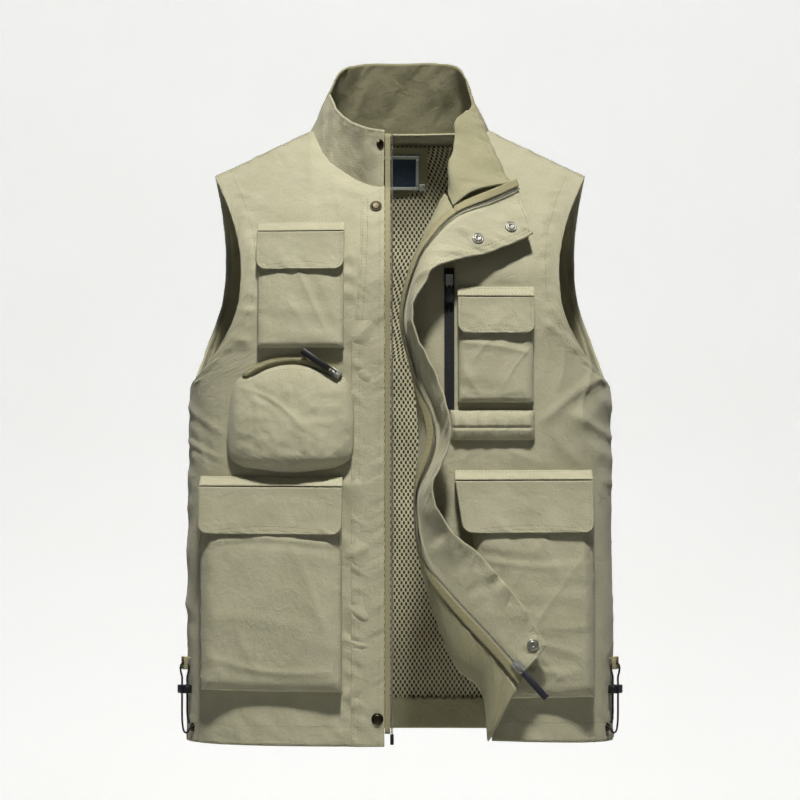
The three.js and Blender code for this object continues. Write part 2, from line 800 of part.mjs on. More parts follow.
flapPocket('right_chest', {
  x: [-156, -62],
  z: [-245, -118],
  stand: [[14, 14], [18, 13]],
  flap: [-157, -61],
  drop: 41.5,
});
flapPocket('right_cargo', {
  x: [-220, -64],
  z: [-621.5, -398],
  stand: [[32, 20], [30, 16]],
  flap: [-221, -63],
  drop: 51,
});
flapPocket('left_chest', {
  x: [64, 146],
  z: [-305, -190],
  stand: [[12, 12], [9, 9]],
  flap: [63, 147],
  drop: 39,
});
flapPocket('left_cargo', {
  x: [71, 214],
  bottomX: [104, 214],
  z: [-629, -391],
  stand: [[14, 30], [12, 30]],
  flap: [60, 212],
  drop: 56.5,
});

// The roll pocket is a padded roll across the wearer's left front.
const roll = { x: [55, 148], z: [-346.5, -313.5], stand: 8.5, rim: 1.6 };
const rollFace = (u, v) => {
  const bulge = Math.sqrt(Math.max(0, 1 - (2 * v - 1) ** 2)) * rise(Math.min(u, 1 - u), 0.08);
  return pocketSpot(lerp(...roll.x, u), lerp(...roll.z, v), roll.rim + roll.stand * bulge);
};
const rollRows = [0, 0.04, 0.14, 0.3, 0.5, 0.7, 0.86, 0.96, 1];
place(
  'left_roll_pocket',
  slab([0, 0.03, 0.08, 0.36, 0.64, 0.92, 0.97, 1], rollRows, against(rollFace), rollFace),
  'shell',
);

// ---------- zip sliders ----------
// Slider axes: x along the zip, y across it, z away from the cloth. The puller turns on a pin through a bridge.
function zipSlider(name, frame, { halfLength, halfWidth, z, cuts, reach, tongue, material }) {
  const top = z[1];
  const pinZ = top + 1.8;
  const long = halfLength + 1;
  const bodyOf = join(
    block([-halfLength, halfLength], [-halfWidth, halfWidth], z),
    block([-3.8, 3.8], [-1, 1], [top - 0.2, top + 3.4]),
  );
  const tunnel = block([-2.2, 2.2], [-2, 2], [pinZ - 0.9, pinZ + 0.9]);
  const channels = cuts.map(([across, up]) => block([-long, long], across, up));
  place(`${name}_slider`, cut(bodyOf, tunnel, ...channels).applyMatrix4(frame), 'steel');
  const inner = 1 + puller.armGap;
  const outer = inner + puller.arm;
  const half = puller.arm / 2;
  const arm = ([a, b]) => block([-puller.armLength, half], [a, b], [pinZ - half, pinZ + half]);
  const pin = rod(puller.pin, outer * 2, 8).translate(0, 0, pinZ);
  const tab = block(
    [-reach, 1 - puller.armLength],
    [-tongue.width / 2, tongue.width / 2],
    [pinZ - tongue.thickness / 2, pinZ + tongue.thickness / 2],
  );
  const round = tongue.round
    ? [rod(tongue.round, tongue.thickness, 16, 'z').translate(tongue.round - reach, 0, pinZ)]
    : [];
  place(
    `${name}_puller`,
    join(pin, arm([inner, outer]), arm([-outer, -inner]), tab, ...round).applyMatrix4(frame),
    material,
  );
}
const ridge = { halfWidth: 1.5, height: 1.6 };
const pocketSlider = {
  halfLength: 6,
  halfWidth: 4,
  z: [hinge.clearance, 3.9],
  cuts: [[[-2.1, 2.1], [-1, 2.2]]],
};

// The closed zip on the wearer's left chest, with a flat front for its slider to run on.
const chestZip = { x: [48.5, 59.5], z: [-312.5, -158], lift: 1.4, restZ: -171 };
chestZip.faceY = frontY(chestZip.x[0], chestZip.z[0]) - overlay - chestZip.lift;
const chestZipFace = (u, v) => vec(lerp(...chestZip.x, u), chestZip.faceY, lerp(...chestZip.z, v));
const chestZipBack = (u, v) => {
  const p = chestZipFace(u, v);
  return vec(p.x, frontY(p.x, p.z) - overlay, p.z);
};
const chestZipX = (chestZip.x[0] + chestZip.x[1]) / 2;
place(
  'left_chest_zip_tape',
  join(
    slab(steps(1), steps(8), chestZipBack, chestZipFace),
    block(
      [chestZipX - ridge.halfWidth, chestZipX + ridge.halfWidth],
      [chestZip.faceY - ridge.height, chestZip.faceY + 0.2],
      [chestZip.z[0] + 2, chestZip.z[1] - 2],
    ),
  ),
  'blackTape',
);
const outward = vec(0, -1, 0);
zipSlider(
  'left_chest_zip',
  frameAt(vec(chestZipX, chestZip.faceY, chestZip.restZ), vec(0, 0, 1), vec(-1, 0, 0), outward),
  { ...pocketSlider, reach: 25, tongue: { width: 6, thickness: 1.6, round: 5 }, material: 'blackTape' },
);

// ---------- the pouch on the wearer's right, with an arched zip ----------
const arch = { x: -118, z: -345, radius: 86.7, halfAngle: 38, restAngle: 34, lift: 2.4 };
const archSpan = arch.radius * Math.sin(degToRad(arch.halfAngle));
const archEnds = [-1, 1].map((end) => frontY(arch.x + end * archSpan, arch.z));
const archTilt = Math.atan2(archEnds[0] - archEnds[1], 2 * archSpan);
arch.y = frontY(arch.x, arch.z + arch.radius) - overlay - arch.lift;
const archAcross = vec(Math.cos(archTilt), -Math.sin(archTilt), 0);
const archUp = vec(0, 0, 1);
const archOut = archUp.clone().cross(archAcross).negate();
const archCentre = vec(arch.x, arch.y, arch.z);
function archPoint(angle, radius, off = 0) {
  return archCentre
    .clone()
    .addScaledVector(archAcross, radius * Math.sin(angle))
    .addScaledVector(archUp, radius * Math.cos(angle))
    .addScaledVector(archOut, off);
}
const archAngle = (u) => degToRad(lerp(-arch.halfAngle, arch.halfAngle, u));
const tapeHalf = 4;
const archFace = (u, v) => archPoint(archAngle(u), arch.radius + lerp(-tapeHalf, tapeHalf, v));
const archBack = (u, v) => {
  const p = archFace(u, v);
  return vec(p.x, frontY(p.x, p.z) - overlay, p.z);
};
const ridgeRadius = (v) => arch.radius + lerp(-ridge.halfWidth, ridge.halfWidth, v);
const ridgeAngle = (u) => lerp(archAngle(0) + 0.02, archAngle(1) - 0.02, u);
place(
  'right_pouch_zip_tape',
  join(
    slab(steps(12), steps(1), archBack, archFace),
    slab(
      steps(16),
      steps(1),
      (u, v) => archPoint(ridgeAngle(u), ridgeRadius(v), -0.2),
      (u, v) => archPoint(ridgeAngle(u), ridgeRadius(v), ridge.height),
    ),
  ),
  'tape',
);
const restAngle = degToRad(arch.restAngle);
const archTangent = archPoint(restAngle + 0.01, arch.radius).sub(archPoint(restAngle - 0.01, arch.radius)).normalize();
zipSlider(
  'right_pouch_zip',
  frameAt(archPoint(restAngle, arch.radius), archTangent, archOut.clone().cross(archTangent), archOut),
  { ...pocketSlider, reach: 44, tongue: { width: 7, thickness: 1.8 }, material: 'steel' },
);

const pouchTop = (u) => archPoint(archAngle(u) * 0.97, arch.radius - tapeHalf - 1.5);
const pouchCorner = vec(-168, 0, -374);
const pouchOtherCorner = vec(-74, 0, -374);
const pouchPlan = patch(
  {
    left: smooth([pouchCorner, vec(-188, 0, -350), vec(-187, 0, -312), pouchTop(0)]),
    right: smooth([pouchOtherCorner, vec(-56, 0, -350), vec(-56, 0, -310), pouchTop(1)]),
    bottom: smooth([pouchCorner, vec(-121, 0, -380), pouchOtherCorner]),
    top: pouchTop,
  },
  (p) => p,
);
const pouch = { rim: 1.8, stand: 25, crest: 0.25 };
const pouchFace = (u, v) => {
  const p = pouchPlan(u, v);
  const across = Math.sin(Math.PI * u) ** 0.6;
  const up = Math.sin(Math.PI * clamp(v < pouch.crest ? v / pouch.crest / 2 : 0.5 + (v - pouch.crest) / (1 - pouch.crest) / 2, 0, 1));
  return pocketSpot(p.x, p.z, pouch.rim + pouch.stand * Math.max(0, across) * Math.max(0, up) ** 0.7);
};
place(
  'right_pouch_pocket',
  hollow([0, 0.06, 0.18, 0.35, 0.5, 0.65, 0.82, 0.94, 1], [0, 0.05, 0.14, 0.3, 0.5, 0.7, 0.87, 1], pouchFace, false),
  'shell',
);

// ---------- the main zip's slider ----------
const zipStart = 0.006;
const mainAlong = teethSpot(0.08).sub(teethSpot(zipStart)).normalize();
const mainOrigin = teethSpot(zipStart).addScaledVector(mainAlong, 8);
const mainNormal = normalAt(leftTape, 0.5, 0.04);
const mainOut = mainNormal.clone().addScaledVector(mainAlong, -mainNormal.dot(mainAlong)).normalize();
zipSlider(
  'main',
  frameAt(mainOrigin, mainAlong, mainOut.clone().cross(mainAlong), mainOut),
  {
    halfLength: 7,
    halfWidth: 5,
    z: [-2.9, 2.9],
    cuts: [
      [[-2, 2], [-1.8, 1.8]],
      [[1.9, 6], [-0.9, 0.9]],
    ],
    reach: 46,
    tongue: { width: 7, thickness: 3 },
    material: 'rubber',
  },
);

// ---------- hem cords, their tabs and locks ----------
// Each side has a loop of cord: n is out from the side, t is towards the front.
const sideCord = { x: 239.7, y: -53, n: vec(0.934, -0.357, 0), t: vec(-0.357, -0.934, 0) };
const ringSeat = cloth.shell + 0.5;
function cordSide(side, sign) {
  const spot = (n, t, z) => {
    const p = vec(sideCord.x, sideCord.y, z).addScaledVector(sideCord.n, n).addScaledVector(sideCord.t, t);
    return vec(p.x * sign, p.y, p.z);
  };
  const turn = (v) => vec(v.x * sign, v.y, v.z);
  const local = frameAt(spot(0, 0, 0), turn(sideCord.n), turn(sideCord.t), vec(0, 0, 1));
  const set = (name, geometry, material) => place(`${side}_${name}`, facingOut(geometry.applyMatrix4(local)), material);

  set(
    'side_tab',
    join(
      cut(
        block([-2.2, 2.2], [-5.5, 5.5], [-602, -588]),
        block([-3, 3], [-3.5, 3.5], [-598, -592]),
      ),
      block([-6.1, -2], [-4, 4], [-591.5, -588.5]),
    ),
    'shell',
  );

  const loop = [
    [-6.3, 9.3, -666], [-4.2, 9.6, -666.2], [-2.2, 9.2, -668.8], [-0.6, 7.2, -672], [1.6, 3.4, -671],
    [2.8, 0.8, -662], [3, 0, -650], [3, 0, -640], [3, 0, -630], [3, 0, -620], [3, 0, -611], [4.4, 0, -604.5], [4.8, 0, -600],
    [3.4, 0, -596.2], [0, 0, -595], [-3.4, 0, -596.2], [-4.8, 0, -600], [-4.4, 0, -604.5], [-3, 0, -611],
    [-3, 0, -620], [-3, 0, -630], [-3, 0, -640], [-3, 0, -650], [-3.4, 0.6, -656], [-4.8, 2, -662],
  ];
  const path = new THREE.CatmullRomCurve3(loop.map((p) => spot(...p)), false, 'centripetal');
  place(`${side}_hem_cord`, tube(path, cord.diameter / 2, cord.sides, 46), 'black');

  const hole = (n) =>
    rod(cord.diameter / 2 + lock.holeClearance, lock.height + 2, 16, 'z').translate(n, 0, lock.z);
  const bore = { radius: 2.3, from: 1.9 };
  set(
    'cord_lock',
    cut(
      block(
        [-lock.width / 2, lock.width / 2],
        [-lock.length / 2, lock.length / 2],
        [lock.z - lock.height / 2, lock.z + lock.height / 2],
      ),
      hole(-cord.spread),
      hole(cord.spread),
      rod(bore.radius, lock.length, 16).translate(0, bore.from + lock.length / 2, lock.z),
    ),
    'black',
  );
  const stemFrom = bore.from + lock.buttonTravel + hinge.clearance;
  const headFrom = lock.length / 2 + lock.buttonTravel + hinge.clearance;
  const head = { radius: 4.2, thickness: 2.5 };
  set(
    'lock_button',
    join(
      rod(bore.radius - hinge.clearance, headFrom - stemFrom + 1, 16)
        .translate(0, (headFrom + stemFrom + 1) / 2, lock.z),
      rod(head.radius, head.thickness, 16).translate(0, headFrom + head.thickness / 2, lock.z),
    ),
    'black',
  );

  const ringAt = vec(228, -58.4, eyelet.z);
  const ringOut = vec(0.88, -0.474, 0);
  const profile = [[eyelet.inner, 0], [eyelet.outer, 0], [eyelet.outer, 0.7], [4, 1.5], [eyelet.inner, 1.1]];
  const ring = ringOf(profile, 16);
  ring.applyQuaternion(new THREE.Quaternion().setFromUnitVectors(vec(0, 1, 0), ringOut));
  ring.translate(...ringAt.addScaledVector(ringOut, ringSeat).toArray());
  ring.scale(sign, 1, 1);
  place(`${side}_eyelet`, facingOut(ring), 'bronze');
}
function ringOf(profile, sides) {
  const closed = [...profile, profile[0]].map(([r, y]) => new THREE.Vector2(r, y));
  const geometry = new THREE.LatheGeometry(closed, sides);
  geometry.deleteAttribute('normal');
  geometry.deleteAttribute('uv');
  return facingOut(mergeVertices(geometry, 1e-4));
}
cordSide('right', -1);
cordSide('left', 1);

export default vest;
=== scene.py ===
import math
import bpy
import numpy as np
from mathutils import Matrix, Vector


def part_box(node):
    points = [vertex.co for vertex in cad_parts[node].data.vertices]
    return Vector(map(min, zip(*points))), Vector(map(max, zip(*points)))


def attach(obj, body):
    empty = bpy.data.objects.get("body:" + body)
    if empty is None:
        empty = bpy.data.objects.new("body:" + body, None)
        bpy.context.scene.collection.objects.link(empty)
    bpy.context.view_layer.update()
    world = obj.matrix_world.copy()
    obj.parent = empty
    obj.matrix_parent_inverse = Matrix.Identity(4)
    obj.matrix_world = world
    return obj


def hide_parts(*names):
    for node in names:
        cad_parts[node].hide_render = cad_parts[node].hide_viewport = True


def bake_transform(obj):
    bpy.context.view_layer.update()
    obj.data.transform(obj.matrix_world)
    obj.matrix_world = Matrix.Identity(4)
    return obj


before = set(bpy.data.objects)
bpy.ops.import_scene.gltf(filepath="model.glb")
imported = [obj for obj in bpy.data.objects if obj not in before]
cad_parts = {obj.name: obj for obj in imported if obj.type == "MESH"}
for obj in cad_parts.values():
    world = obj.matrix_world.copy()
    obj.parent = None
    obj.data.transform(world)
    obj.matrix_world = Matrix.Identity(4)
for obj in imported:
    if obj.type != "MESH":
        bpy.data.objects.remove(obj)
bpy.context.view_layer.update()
scene = bpy.context.scene
scene.view_settings.view_transform = "Standard"
print("frame loaded")

# Lengths are worked in millimetres and turned to metres when a mesh is made.
mm = 0.001

# ---- camera: level with the middle of the vest, far enough back to flatten the perspective
camera = {"distance": 4.1, "height": -0.3025, "viewWidth": 0.88, "subjectFront": 0.1}


def placed(name, data):
    piece = bpy.data.objects.new(name, data)
    scene.collection.objects.link(piece)
    return piece


lens = bpy.data.cameras.new("camera")
lens.sensor_width = 36
lens.lens = 36 * (camera["distance"] - camera["subjectFront"]) / camera["viewWidth"]
cameraObject = placed("camera", lens)
cameraObject.location = (0, -camera["distance"], camera["height"])
cameraObject.rotation_euler = (math.radians(90), 0, 0)
scene.camera = cameraObject


# ---- materials
def linear(hexColour):
    values = [int(hexColour[i:i + 2], 16) / 255 for i in (1, 3, 5)]
    return [v / 12.92 if v <= 0.04045 else ((v + 0.055) / 1.055) ** 2.4 for v in values] + [1]


def addNode(tree, kind, links=None, **settings):
    node = tree.nodes.new(kind)
    for key, value in settings.items():
        if hasattr(node, key):
            setattr(node, key, value)
    for socket, source in (links or {}).items():
        target = node.inputs[socket]
        if isinstance(source, bpy.types.NodeSocket):
            tree.links.new(source, target)
        else:
            target.default_value = source
    return node


def newMaterial(name, roughness, metallic=0.0, sheen=0.0):
    material = bpy.data.materials.new(name)
    material.use_nodes = True
    tree = material.node_tree
    surface = tree.nodes["Principled BSDF"]
    surface.inputs["Roughness"].default_value = roughness
    surface.inputs["Metallic"].default_value = metallic
    surface.inputs["Sheen Weight"].default_value = sheen
    return material, tree, surface


def ramp(tree, source, low, high, fromColour, toColour):
    node = addNode(tree, "ShaderNodeMapRange", {"Value": source, "From Min": low, "From Max": high})
    return mixed(tree, node.outputs[0], fromColour, toColour)


def inMillimetres(tree, place):
    thousand = (1000, 1000, 1000)
    return addNode(tree, "ShaderNodeVectorMath", {0: place, 1: thousand}, operation="MULTIPLY").outputs[0]


def mixed(tree, share, fromColour, toColour):
    return addNode(tree, "ShaderNodeMix", {0: share, 6: fromColour, 7: toColour}, data_type="RGBA").outputs[2]


def bump(tree, height, distance, strength, under=None):
    links = {"Height": height, "Distance": distance, "Strength": strength}
    if under is not None:
        links["Normal"] = under
    return addNode(tree, "ShaderNodeBump", links).outputs[0]


def finished(material, tree, surface, colour, normal):
    tree.links.new(colour, surface.inputs["Base Color"])
    tree.links.new(normal, surface.inputs["Normal"])
    return material


# Cotton twill, washed and slightly faded: a matte weave with a faint diagonal and soft worn patches.
twillMm = {"patch": 38, "fleck": 1.9, "crease": 9}


def twill(name, shade, worn, deep, threadPitch=1.7, grain=0.35):
    material, tree, surface = newMaterial(name, 0.9, sheen=0.15)
    cloth = inMillimetres(tree, addNode(tree, "ShaderNodeUVMap", uv_map="cloth").outputs[0])
    patches = addNode(tree, "ShaderNodeTexNoise", {
        "Vector": cloth, "Scale": 1 / twillMm["patch"], "Detail": 4.0, "Roughness": 0.6})
    speckle = addNode(tree, "ShaderNodeTexNoise", {
        "Vector": cloth, "Scale": 1 / twillMm["fleck"], "Detail": 2.0})
    turned = addNode(tree, "ShaderNodeMapping", {"Vector": cloth, "Rotation": (0, 0, math.radians(58))})
    # threads are about 0.5 mm apart; the diagonal is drawn coarser so that it shows
    diagonal = addNode(tree, "ShaderNodeTexWave", {
        "Vector": turned.outputs[0], "Scale": 1 / threadPitch / math.pi, "Distortion": 1.4, "Detail": 2.0})
    faded = ramp(tree, patches.outputs[0], 0.35, 0.7, linear(shade), linear(worn))
    flecked = ramp(tree, speckle.outputs[0], 0.3, 0.75, linear(deep), linear(worn))
    weave = addNode(tree, "ShaderNodeMath", {0: diagonal.outputs[1], 1: speckle.outputs[0]}, operation="ADD")
    crease = addNode(tree, "ShaderNodeTexNoise", {
        "Vector": cloth, "Scale": 1 / twillMm["crease"], "Detail": 3.0, "Distortion": 0.8})
    fine = bump(tree, weave.outputs[0], 0.0003, 0.3)
    soft = bump(tree, crease.outputs[0], 0.0016, 0.5, fine)
    return finished(material, tree, surface, mixed(tree, grain, faded, flecked), soft)


# Knitted polyester net: pale threads round diamond holes, painted dark where the cloth behind shows through,
# as the shade that cloth lies in.
def netting(name, thread, shadedHole, pitch=(5.2, 8.2)):
    material, tree, surface = newMaterial(name, 0.8, sheen=0.1)
    uv = addNode(tree, "ShaderNodeUVMap", uv_map="cloth").outputs[0]
    parts = addNode(tree, "ShaderNodeSeparateXYZ", {0: uv})

    def wavy(source, size):
        turns = 2 * math.pi * 1000 / size
        scaled = addNode(tree, "ShaderNodeMath", {0: source, 1: turns}, operation="MULTIPLY")
        return addNode(tree, "ShaderNodeMath", {0: scaled.outputs[0]}, operation="COSINE").outputs[0]

    across, along = wavy(parts.outputs[0], pitch[0]), wavy(parts.outputs[1], pitch[1])
    both = addNode(tree, "ShaderNodeMath", {0: across, 1: along}, operation="MULTIPLY").outputs[0]
    tone = addNode(tree, "ShaderNodeMapRange", {"Value": both, "From Min": -0.2, "From Max": 0.06}).outputs[0]
    colour = mixed(tree, tone, linear(shadedHole), linear(thread))
    return finished(material, tree, surface, colour, bump(tree, tone, 0.0007, 0.8))


# Woven zip tape: fine ribs along its length, painted darker in the grooves between them as shade.
def ribbed(name, shade, deep, pitch=1.4):
    material, tree, surface = newMaterial(name, 0.8)
    place = inMillimetres(tree, addNode(tree, "ShaderNodeTexCoord").outputs["Object"])
    links = {"Vector": place, "Scale": 1 / pitch / math.pi, "Distortion": 0.6}
    ribs = addNode(tree, "ShaderNodeTexWave", links, bands_direction="Z").outputs[1]
    colour = ramp(tree, ribs, 0.1, 0.9, linear(deep), linear(shade))
    return finished(material, tree, surface, colour, bump(tree, ribs, 0.0003, 0.6))


# Die-cast metal, moulded plastic or braided cord: faint mottling and wear, painted darker in its hollows as
# shade; on the antique brass the dark hollows are also its real darkened finish.
def cast(name, shade, deep, roughness, metallic=1.0, grit=1.2):
    material, tree, surface = newMaterial(name, roughness, metallic)
    place = inMillimetres(tree, addNode(tree, "ShaderNodeTexCoord").outputs["Object"])
    links = {"Vector": place, "Scale": 1 / grit, "Detail": 3.0}
    mottleAndShade = addNode(tree, "ShaderNodeTexNoise", links).outputs[0]
    colour = ramp(tree, mottleAndShade, 0.3, 0.7, linear(deep), linear(shade))
    return finished(material, tree, surface, colour, bump(tree, mottleAndShade, 0.0001, 0.4))


shellTwill = twill("khaki cotton twill", "#a8a588", "#b8b499", "#938f73")
# The facings, the back of the collar and the left collar are the shell's own cloth, painted darker as shade.
shadedFacingTwill = twill("olive facing twill, shaded", "#938f6e", "#a39f7e", "#7c785a")
# The net's dark hole colour is painted shade.
panelNet = netting("diamond mesh lining", "#c6c09e", "#302d1a")
threadCotton = twill("topstitch thread", "#8f8a66", "#9a9572", "#7b7654")
# The label is woven from fine smooth threads, so its twill is closer set.
labelWeave = twill("woven label", "#26394a", "#31475a", "#1a2836", threadPitch=1.2)
labelBorder = twill("label border", "#b9c0b4", "#cfd4c8", "#98a094", threadPitch=1.2)
khakiTape = ribbed("khaki zip tape", "#a39d78", "#827c5a")
blackTape = ribbed("black zip tape", "#1d1d20", "#0c0c0e")
# Nylon coils are drawn and wound, and catch small bright lines; the die-cast slider is a little rough.
coilNylon = cast("zip coil", "#a9a89c", "#77766c", 0.38, 0.85, 0.8)
darkCoil = cast("dark zip coil", "#2b2b2e", "#121214", 0.45, 0.2, 0.8)
zipMetal = cast("zip slider, zinc", "#c9c9c4", "#94948f", 0.45, 0.7)
# Brass caps are pressed and darkened, nickel sockets pressed and plated: both shine softly over dark hollows,
# which are painted shade, and on the brass its darkened finish as well.
bronzeCap = cast("snap cap, antique brass", "#4d4638", "#2b271f", 0.42)
snapSteel = cast("snap socket, nickel", "#b9b8ae", "#77766c", 0.4, 0.8)
# Rubber and acetal are moulded: even, dark and only slightly glossy.
rubberPull = cast("moulded rubber", "#2a2b36", "#1b1c25", 0.55, 0.0)
blackAcetal = cast("black acetal", "#19191b", "#0b0b0d", 0.42, 0.0)
print("materials made")


# ---- curves and grids
def smoothCurve(points):
    p = np.array(points, float)
    p = np.vstack([2 * p[0] - p[1], p, 2 * p[-1] - p[-2]])

    def at(t):
        t = np.clip(np.atleast_1d(np.asarray(t, float)), 0, 1) * (len(p) - 3)
        i = np.minimum(t.astype(int), len(p) - 4)
        w = (t - i)[..., None]
        a, b, c, d = p[i], p[i + 1], p[i + 2], p[i + 3]
        s0, s1, s2 = [np.maximum(np.linalg.norm(q - r, axis=-1, keepdims=True) ** 0.5, 1e-6)
                      for q, r in ((b, a), (c, b), (d, c))]
        m1 = ((b - a) / s0 - (c - a) / (s0 + s1) + (c - b) / s1) * s1
        m2 = ((c - b) / s1 - (d - b) / (s1 + s2) + (d - c) / s2) * s1
        return (b + m1 * w + (-3 * b + 3 * c - 2 * m1 - m2) * w ** 2 + (2 * b - 2 * c + m1 + m2) * w ** 3)
    return at


def straight(a, b):
    a, b = np.array(a, float), np.array(b, float)
    return lambda t: a + (b - a) * np.asarray(t, float)[..., None]


def mirroredX(curve):
    return lambda t: curve(t) * np.array([-1, 1, 1])


def chained(first, second, split):
    def at(t):
        t = np.asarray(t, float)
        low, high = first(np.minimum(t / split, 1)), second(np.clip((t - split) / (1 - split), 0, 1))
        return np.where((t < split)[..., None], low, high)
    return at


def flatten(curve):  # lets a curve take a grid of values
    def at(t):
        t = np.asarray(t, float)
        return curve(t.ravel()).reshape(t.shape + (3,))
    return at


def lerp(a, b, t):
    return a + (b - a) * t


def shares(count, start=0, end=1):
    return lerp(start, end, np.linspace(0, 1, count))


def smoothStep(t):
    t = np.clip(t, 0, 1)
    return t * t * (3 - 2 * t)


def distanceAlong(path):
    return np.concatenate([[0], np.cumsum(np.linalg.norm(np.diff(path, axis=0), axis=1))])


def unit(vectors):
    return vectors / np.maximum(np.linalg.norm(vectors, axis=-1, keepdims=True), 1e-9)


randomTable = np.random.default_rng(7).random((64, 64)) * 2 - 1


def noise(x, y, seed=0):
    x, y = np.asarray(x, float) + seed * 17.3, np.asarray(y, float) + seed * 5.7
    i, j = np.floor(x).astype(int), np.floor(y).astype(int)
    fx, fy = smoothStep(x - i), smoothStep(y - j)
    g = lambda a, b: randomTable[a % 64, b % 64]
    return lerp(lerp(g(i, j), g(i + 1, j), fx), lerp(g(i, j + 1), g(i + 1, j + 1), fx), fy)


def folds(x, y, angle, spacing, length, seed):  # long soft creases that run at an angle
    c, s = math.cos(math.radians(angle)), math.sin(math.radians(angle))
    across, along = x * c + y * s, -x * s + y * c
    bend = noise(across / length, along / length, seed + 3) * spacing * 0.8
    value = noise((across + bend) / spacing, along / length, seed)
    return 1 - np.sqrt(value ** 2 + 0.006) * 2


# ---- the torso, as the solids have it
body = {"hemZ": -682, "armpitZ": -288, "hemHalf": 238, "chestHalf": 234, "front": 118, "back": 112,
        "square": 3, "frontRound": 190, "backRound": 120}
shoulder = {"neck": 99, "tipX": 208, "tipZ": -52, "y": 5, "backNeck": 55}
seamGap = 0.4
slope = -shoulder["tipZ"] / (shoulder["tipX"] - shoulder["neck"])


def planOutline(x, z):
    t = np.clip((z - body["hemZ"]) / (body["armpitZ"] - body["hemZ"]), 0, 1)
    share = np.clip(np.abs(x) / lerp(body["hemHalf"], body["chestHalf"], t), 0, 1)
    return (1 - share ** body["square"]) ** (1 / body["square"])


def rounding(x, z, size):
    ridge = -np.maximum(0, np.abs(x) - shoulder["neck"]) * slope
    return np.sin(np.clip((ridge - z) / size, 0, 1) * math.pi / 2) ** 0.75


def frontY(x, z):
    full = -body["front"] * planOutline(x, z)
    return lerp(shoulder["y"], full, rounding(x, z, body["frontRound"])) - seamGap


def frontAt(x, z):
    return float(frontY(np.array(float(x)), np.array(float(z))))


def backY(x, z):
    share = np.clip(np.abs(x) / shoulder["neck"], 0, 1)
    edge = shoulder["y"] + shoulder["backNeck"] * np.sqrt(1 - share ** 2)
    return lerp(edge, body["back"] * planOutline(x, z), rounding(x, z, body["backRound"])) + seamGap


def laid(p, surfaceY):
    return np.stack([p[..., 0], surfaceY(p[..., 0], p[..., 2]), p[..., 2]], -1)


def patch(left, right, bottom, top, surfaceY=None):
    left, right, bottom, top = map(flatten, (left, right, bottom, top))

    def at(u, v):
        zero, one = np.zeros_like(u), np.ones_like(u)
        w = u[..., None]
        ruled = lerp(left(v), right(v), w)
        rows = lerp(bottom(u), top(u), v[..., None])
        low, high = lerp(left(zero), right(zero), w), lerp(left(one), right(one), w)
        p = ruled + rows - lerp(low, high, v[..., None])
        return laid(p, surfaceY) if surfaceY else p
    return at


armpitShare, necklineShare = 0.6, 0.84
hemCorner, armpit = [body["hemHalf"], 0, body["hemZ"]], [body["chestHalf"], 0, body["armpitZ"]]
shoulderTip, neckPoint = [shoulder["tipX"], 0, shoulder["tipZ"]], [shoulder["neck"], 0, 0]
frontArmhole = smoothCurve([armpit, (205, 0, -254), (180, 0, -206), (175, 0, -152), (187, 0, -98),
                            shoulderTip])
backArmhole = smoothCurve([armpit, (219, 0, -240), (203, 0, -190), (199, 0, -135), (202, 0, -92),
                           shoulderTip])
sideSeam = straight(hemCorner, armpit)
frontOuter = chained(sideSeam, frontArmhole, armpitShare)
backOuter = chained(sideSeam, backArmhole, armpitShare)
flip = lambda p: [-p[0], p[1], p[2]]


# ---- sheets: a closed grid with thickness, its own UV map in metres, and rows of stitches sewn on
def normalsOf(p, hint):
    n = unit(np.cross(np.gradient(p, axis=1), np.gradient(p, axis=0)))
    return -n if (n.reshape(-1, 3) @ np.array(hint, float)).mean() < 0 else n


def edgeLengths(p):  # distance in mm of every point from the left, right, bottom and top edges
    du = np.linalg.norm(np.diff(p, axis=1), axis=-1)
    dv = np.linalg.norm(np.diff(p, axis=0), axis=-1)
    left = np.concatenate([np.zeros((len(p), 1)), np.cumsum(du, 1)], 1)
    bottom = np.concatenate([np.zeros((1, p.shape[1])), np.cumsum(dv, 0)], 0)
    return {"left": left, "right": left[:, -1:] - left, "bottom": bottom, "top": bottom[-1:] - bottom}


def seamPath(p, n, side, inset, start=0.0, end=1.0):
    lengths = edgeLengths(p)[side]
    if side in ("bottom", "top"):
        p, n, lengths = p.swapaxes(0, 1), n.swapaxes(0, 1), lengths.T
    order = slice(None) if side in ("left", "bottom") else slice(None, None, -1)
    picked = [np.array([np.interp(inset, lengths[row, order], q[row, order, k]) for row in range(len(p))])
              for q in (p, n) for k in range(3)]
    path, up = np.stack(picked[:3], -1), np.stack(picked[3:], -1)
    a, b = int(start * (len(path) - 1)), int(end * (len(path) - 1)) + 1
    return path[a:b], up[a:b]


stitch = {"pitch": 3.8, "length": 2.7, "width": 0.95, "height": 0.4}


def stitches(path, up):
    run = distanceAlong(path)
    spots = np.arange(stitch["pitch"], run[-1] - stitch["pitch"], stitch["pitch"])
    if len(spots) == 0:
        return np.zeros((0, 3)), []
    pick = lambda q, s: np.stack([np.interp(s, run, q[:, k]) for k in range(3)], -1)
    a, b = pick(path, spots - stitch["length"] / 2), pick(path, spots + stitch["length"] / 2)
    n = pick(up, spots)
    side, middle = unit(np.cross(b - a, n)), (a + b) / 2
    w, h = side * stitch["width"] / 2, n * stitch["height"]
    corners = np.stack([a, middle + w, b, middle - w, middle + h, middle - h * 0.3], 1)
    sides = [(0, 1, 4), (1, 2, 4), (2, 3, 4), (3, 0, 4), (1, 0, 5), (2, 1, 5), (3, 2, 5), (0, 3, 5)]
    faces = [tuple(6 * i + k for k in side) for i in range(len(spots)) for side in sides]
    return corners.reshape(-1, 3), faces


def meshOf(name, points, faces, *materials):
    mesh = bpy.data.meshes.new(name)
    mesh.from_pydata((points * mm).tolist(), [], faces)
    mesh.polygons.foreach_set("use_smooth", [True] * len(faces))
    for material in materials:
        mesh.materials.append(material)
    return mesh


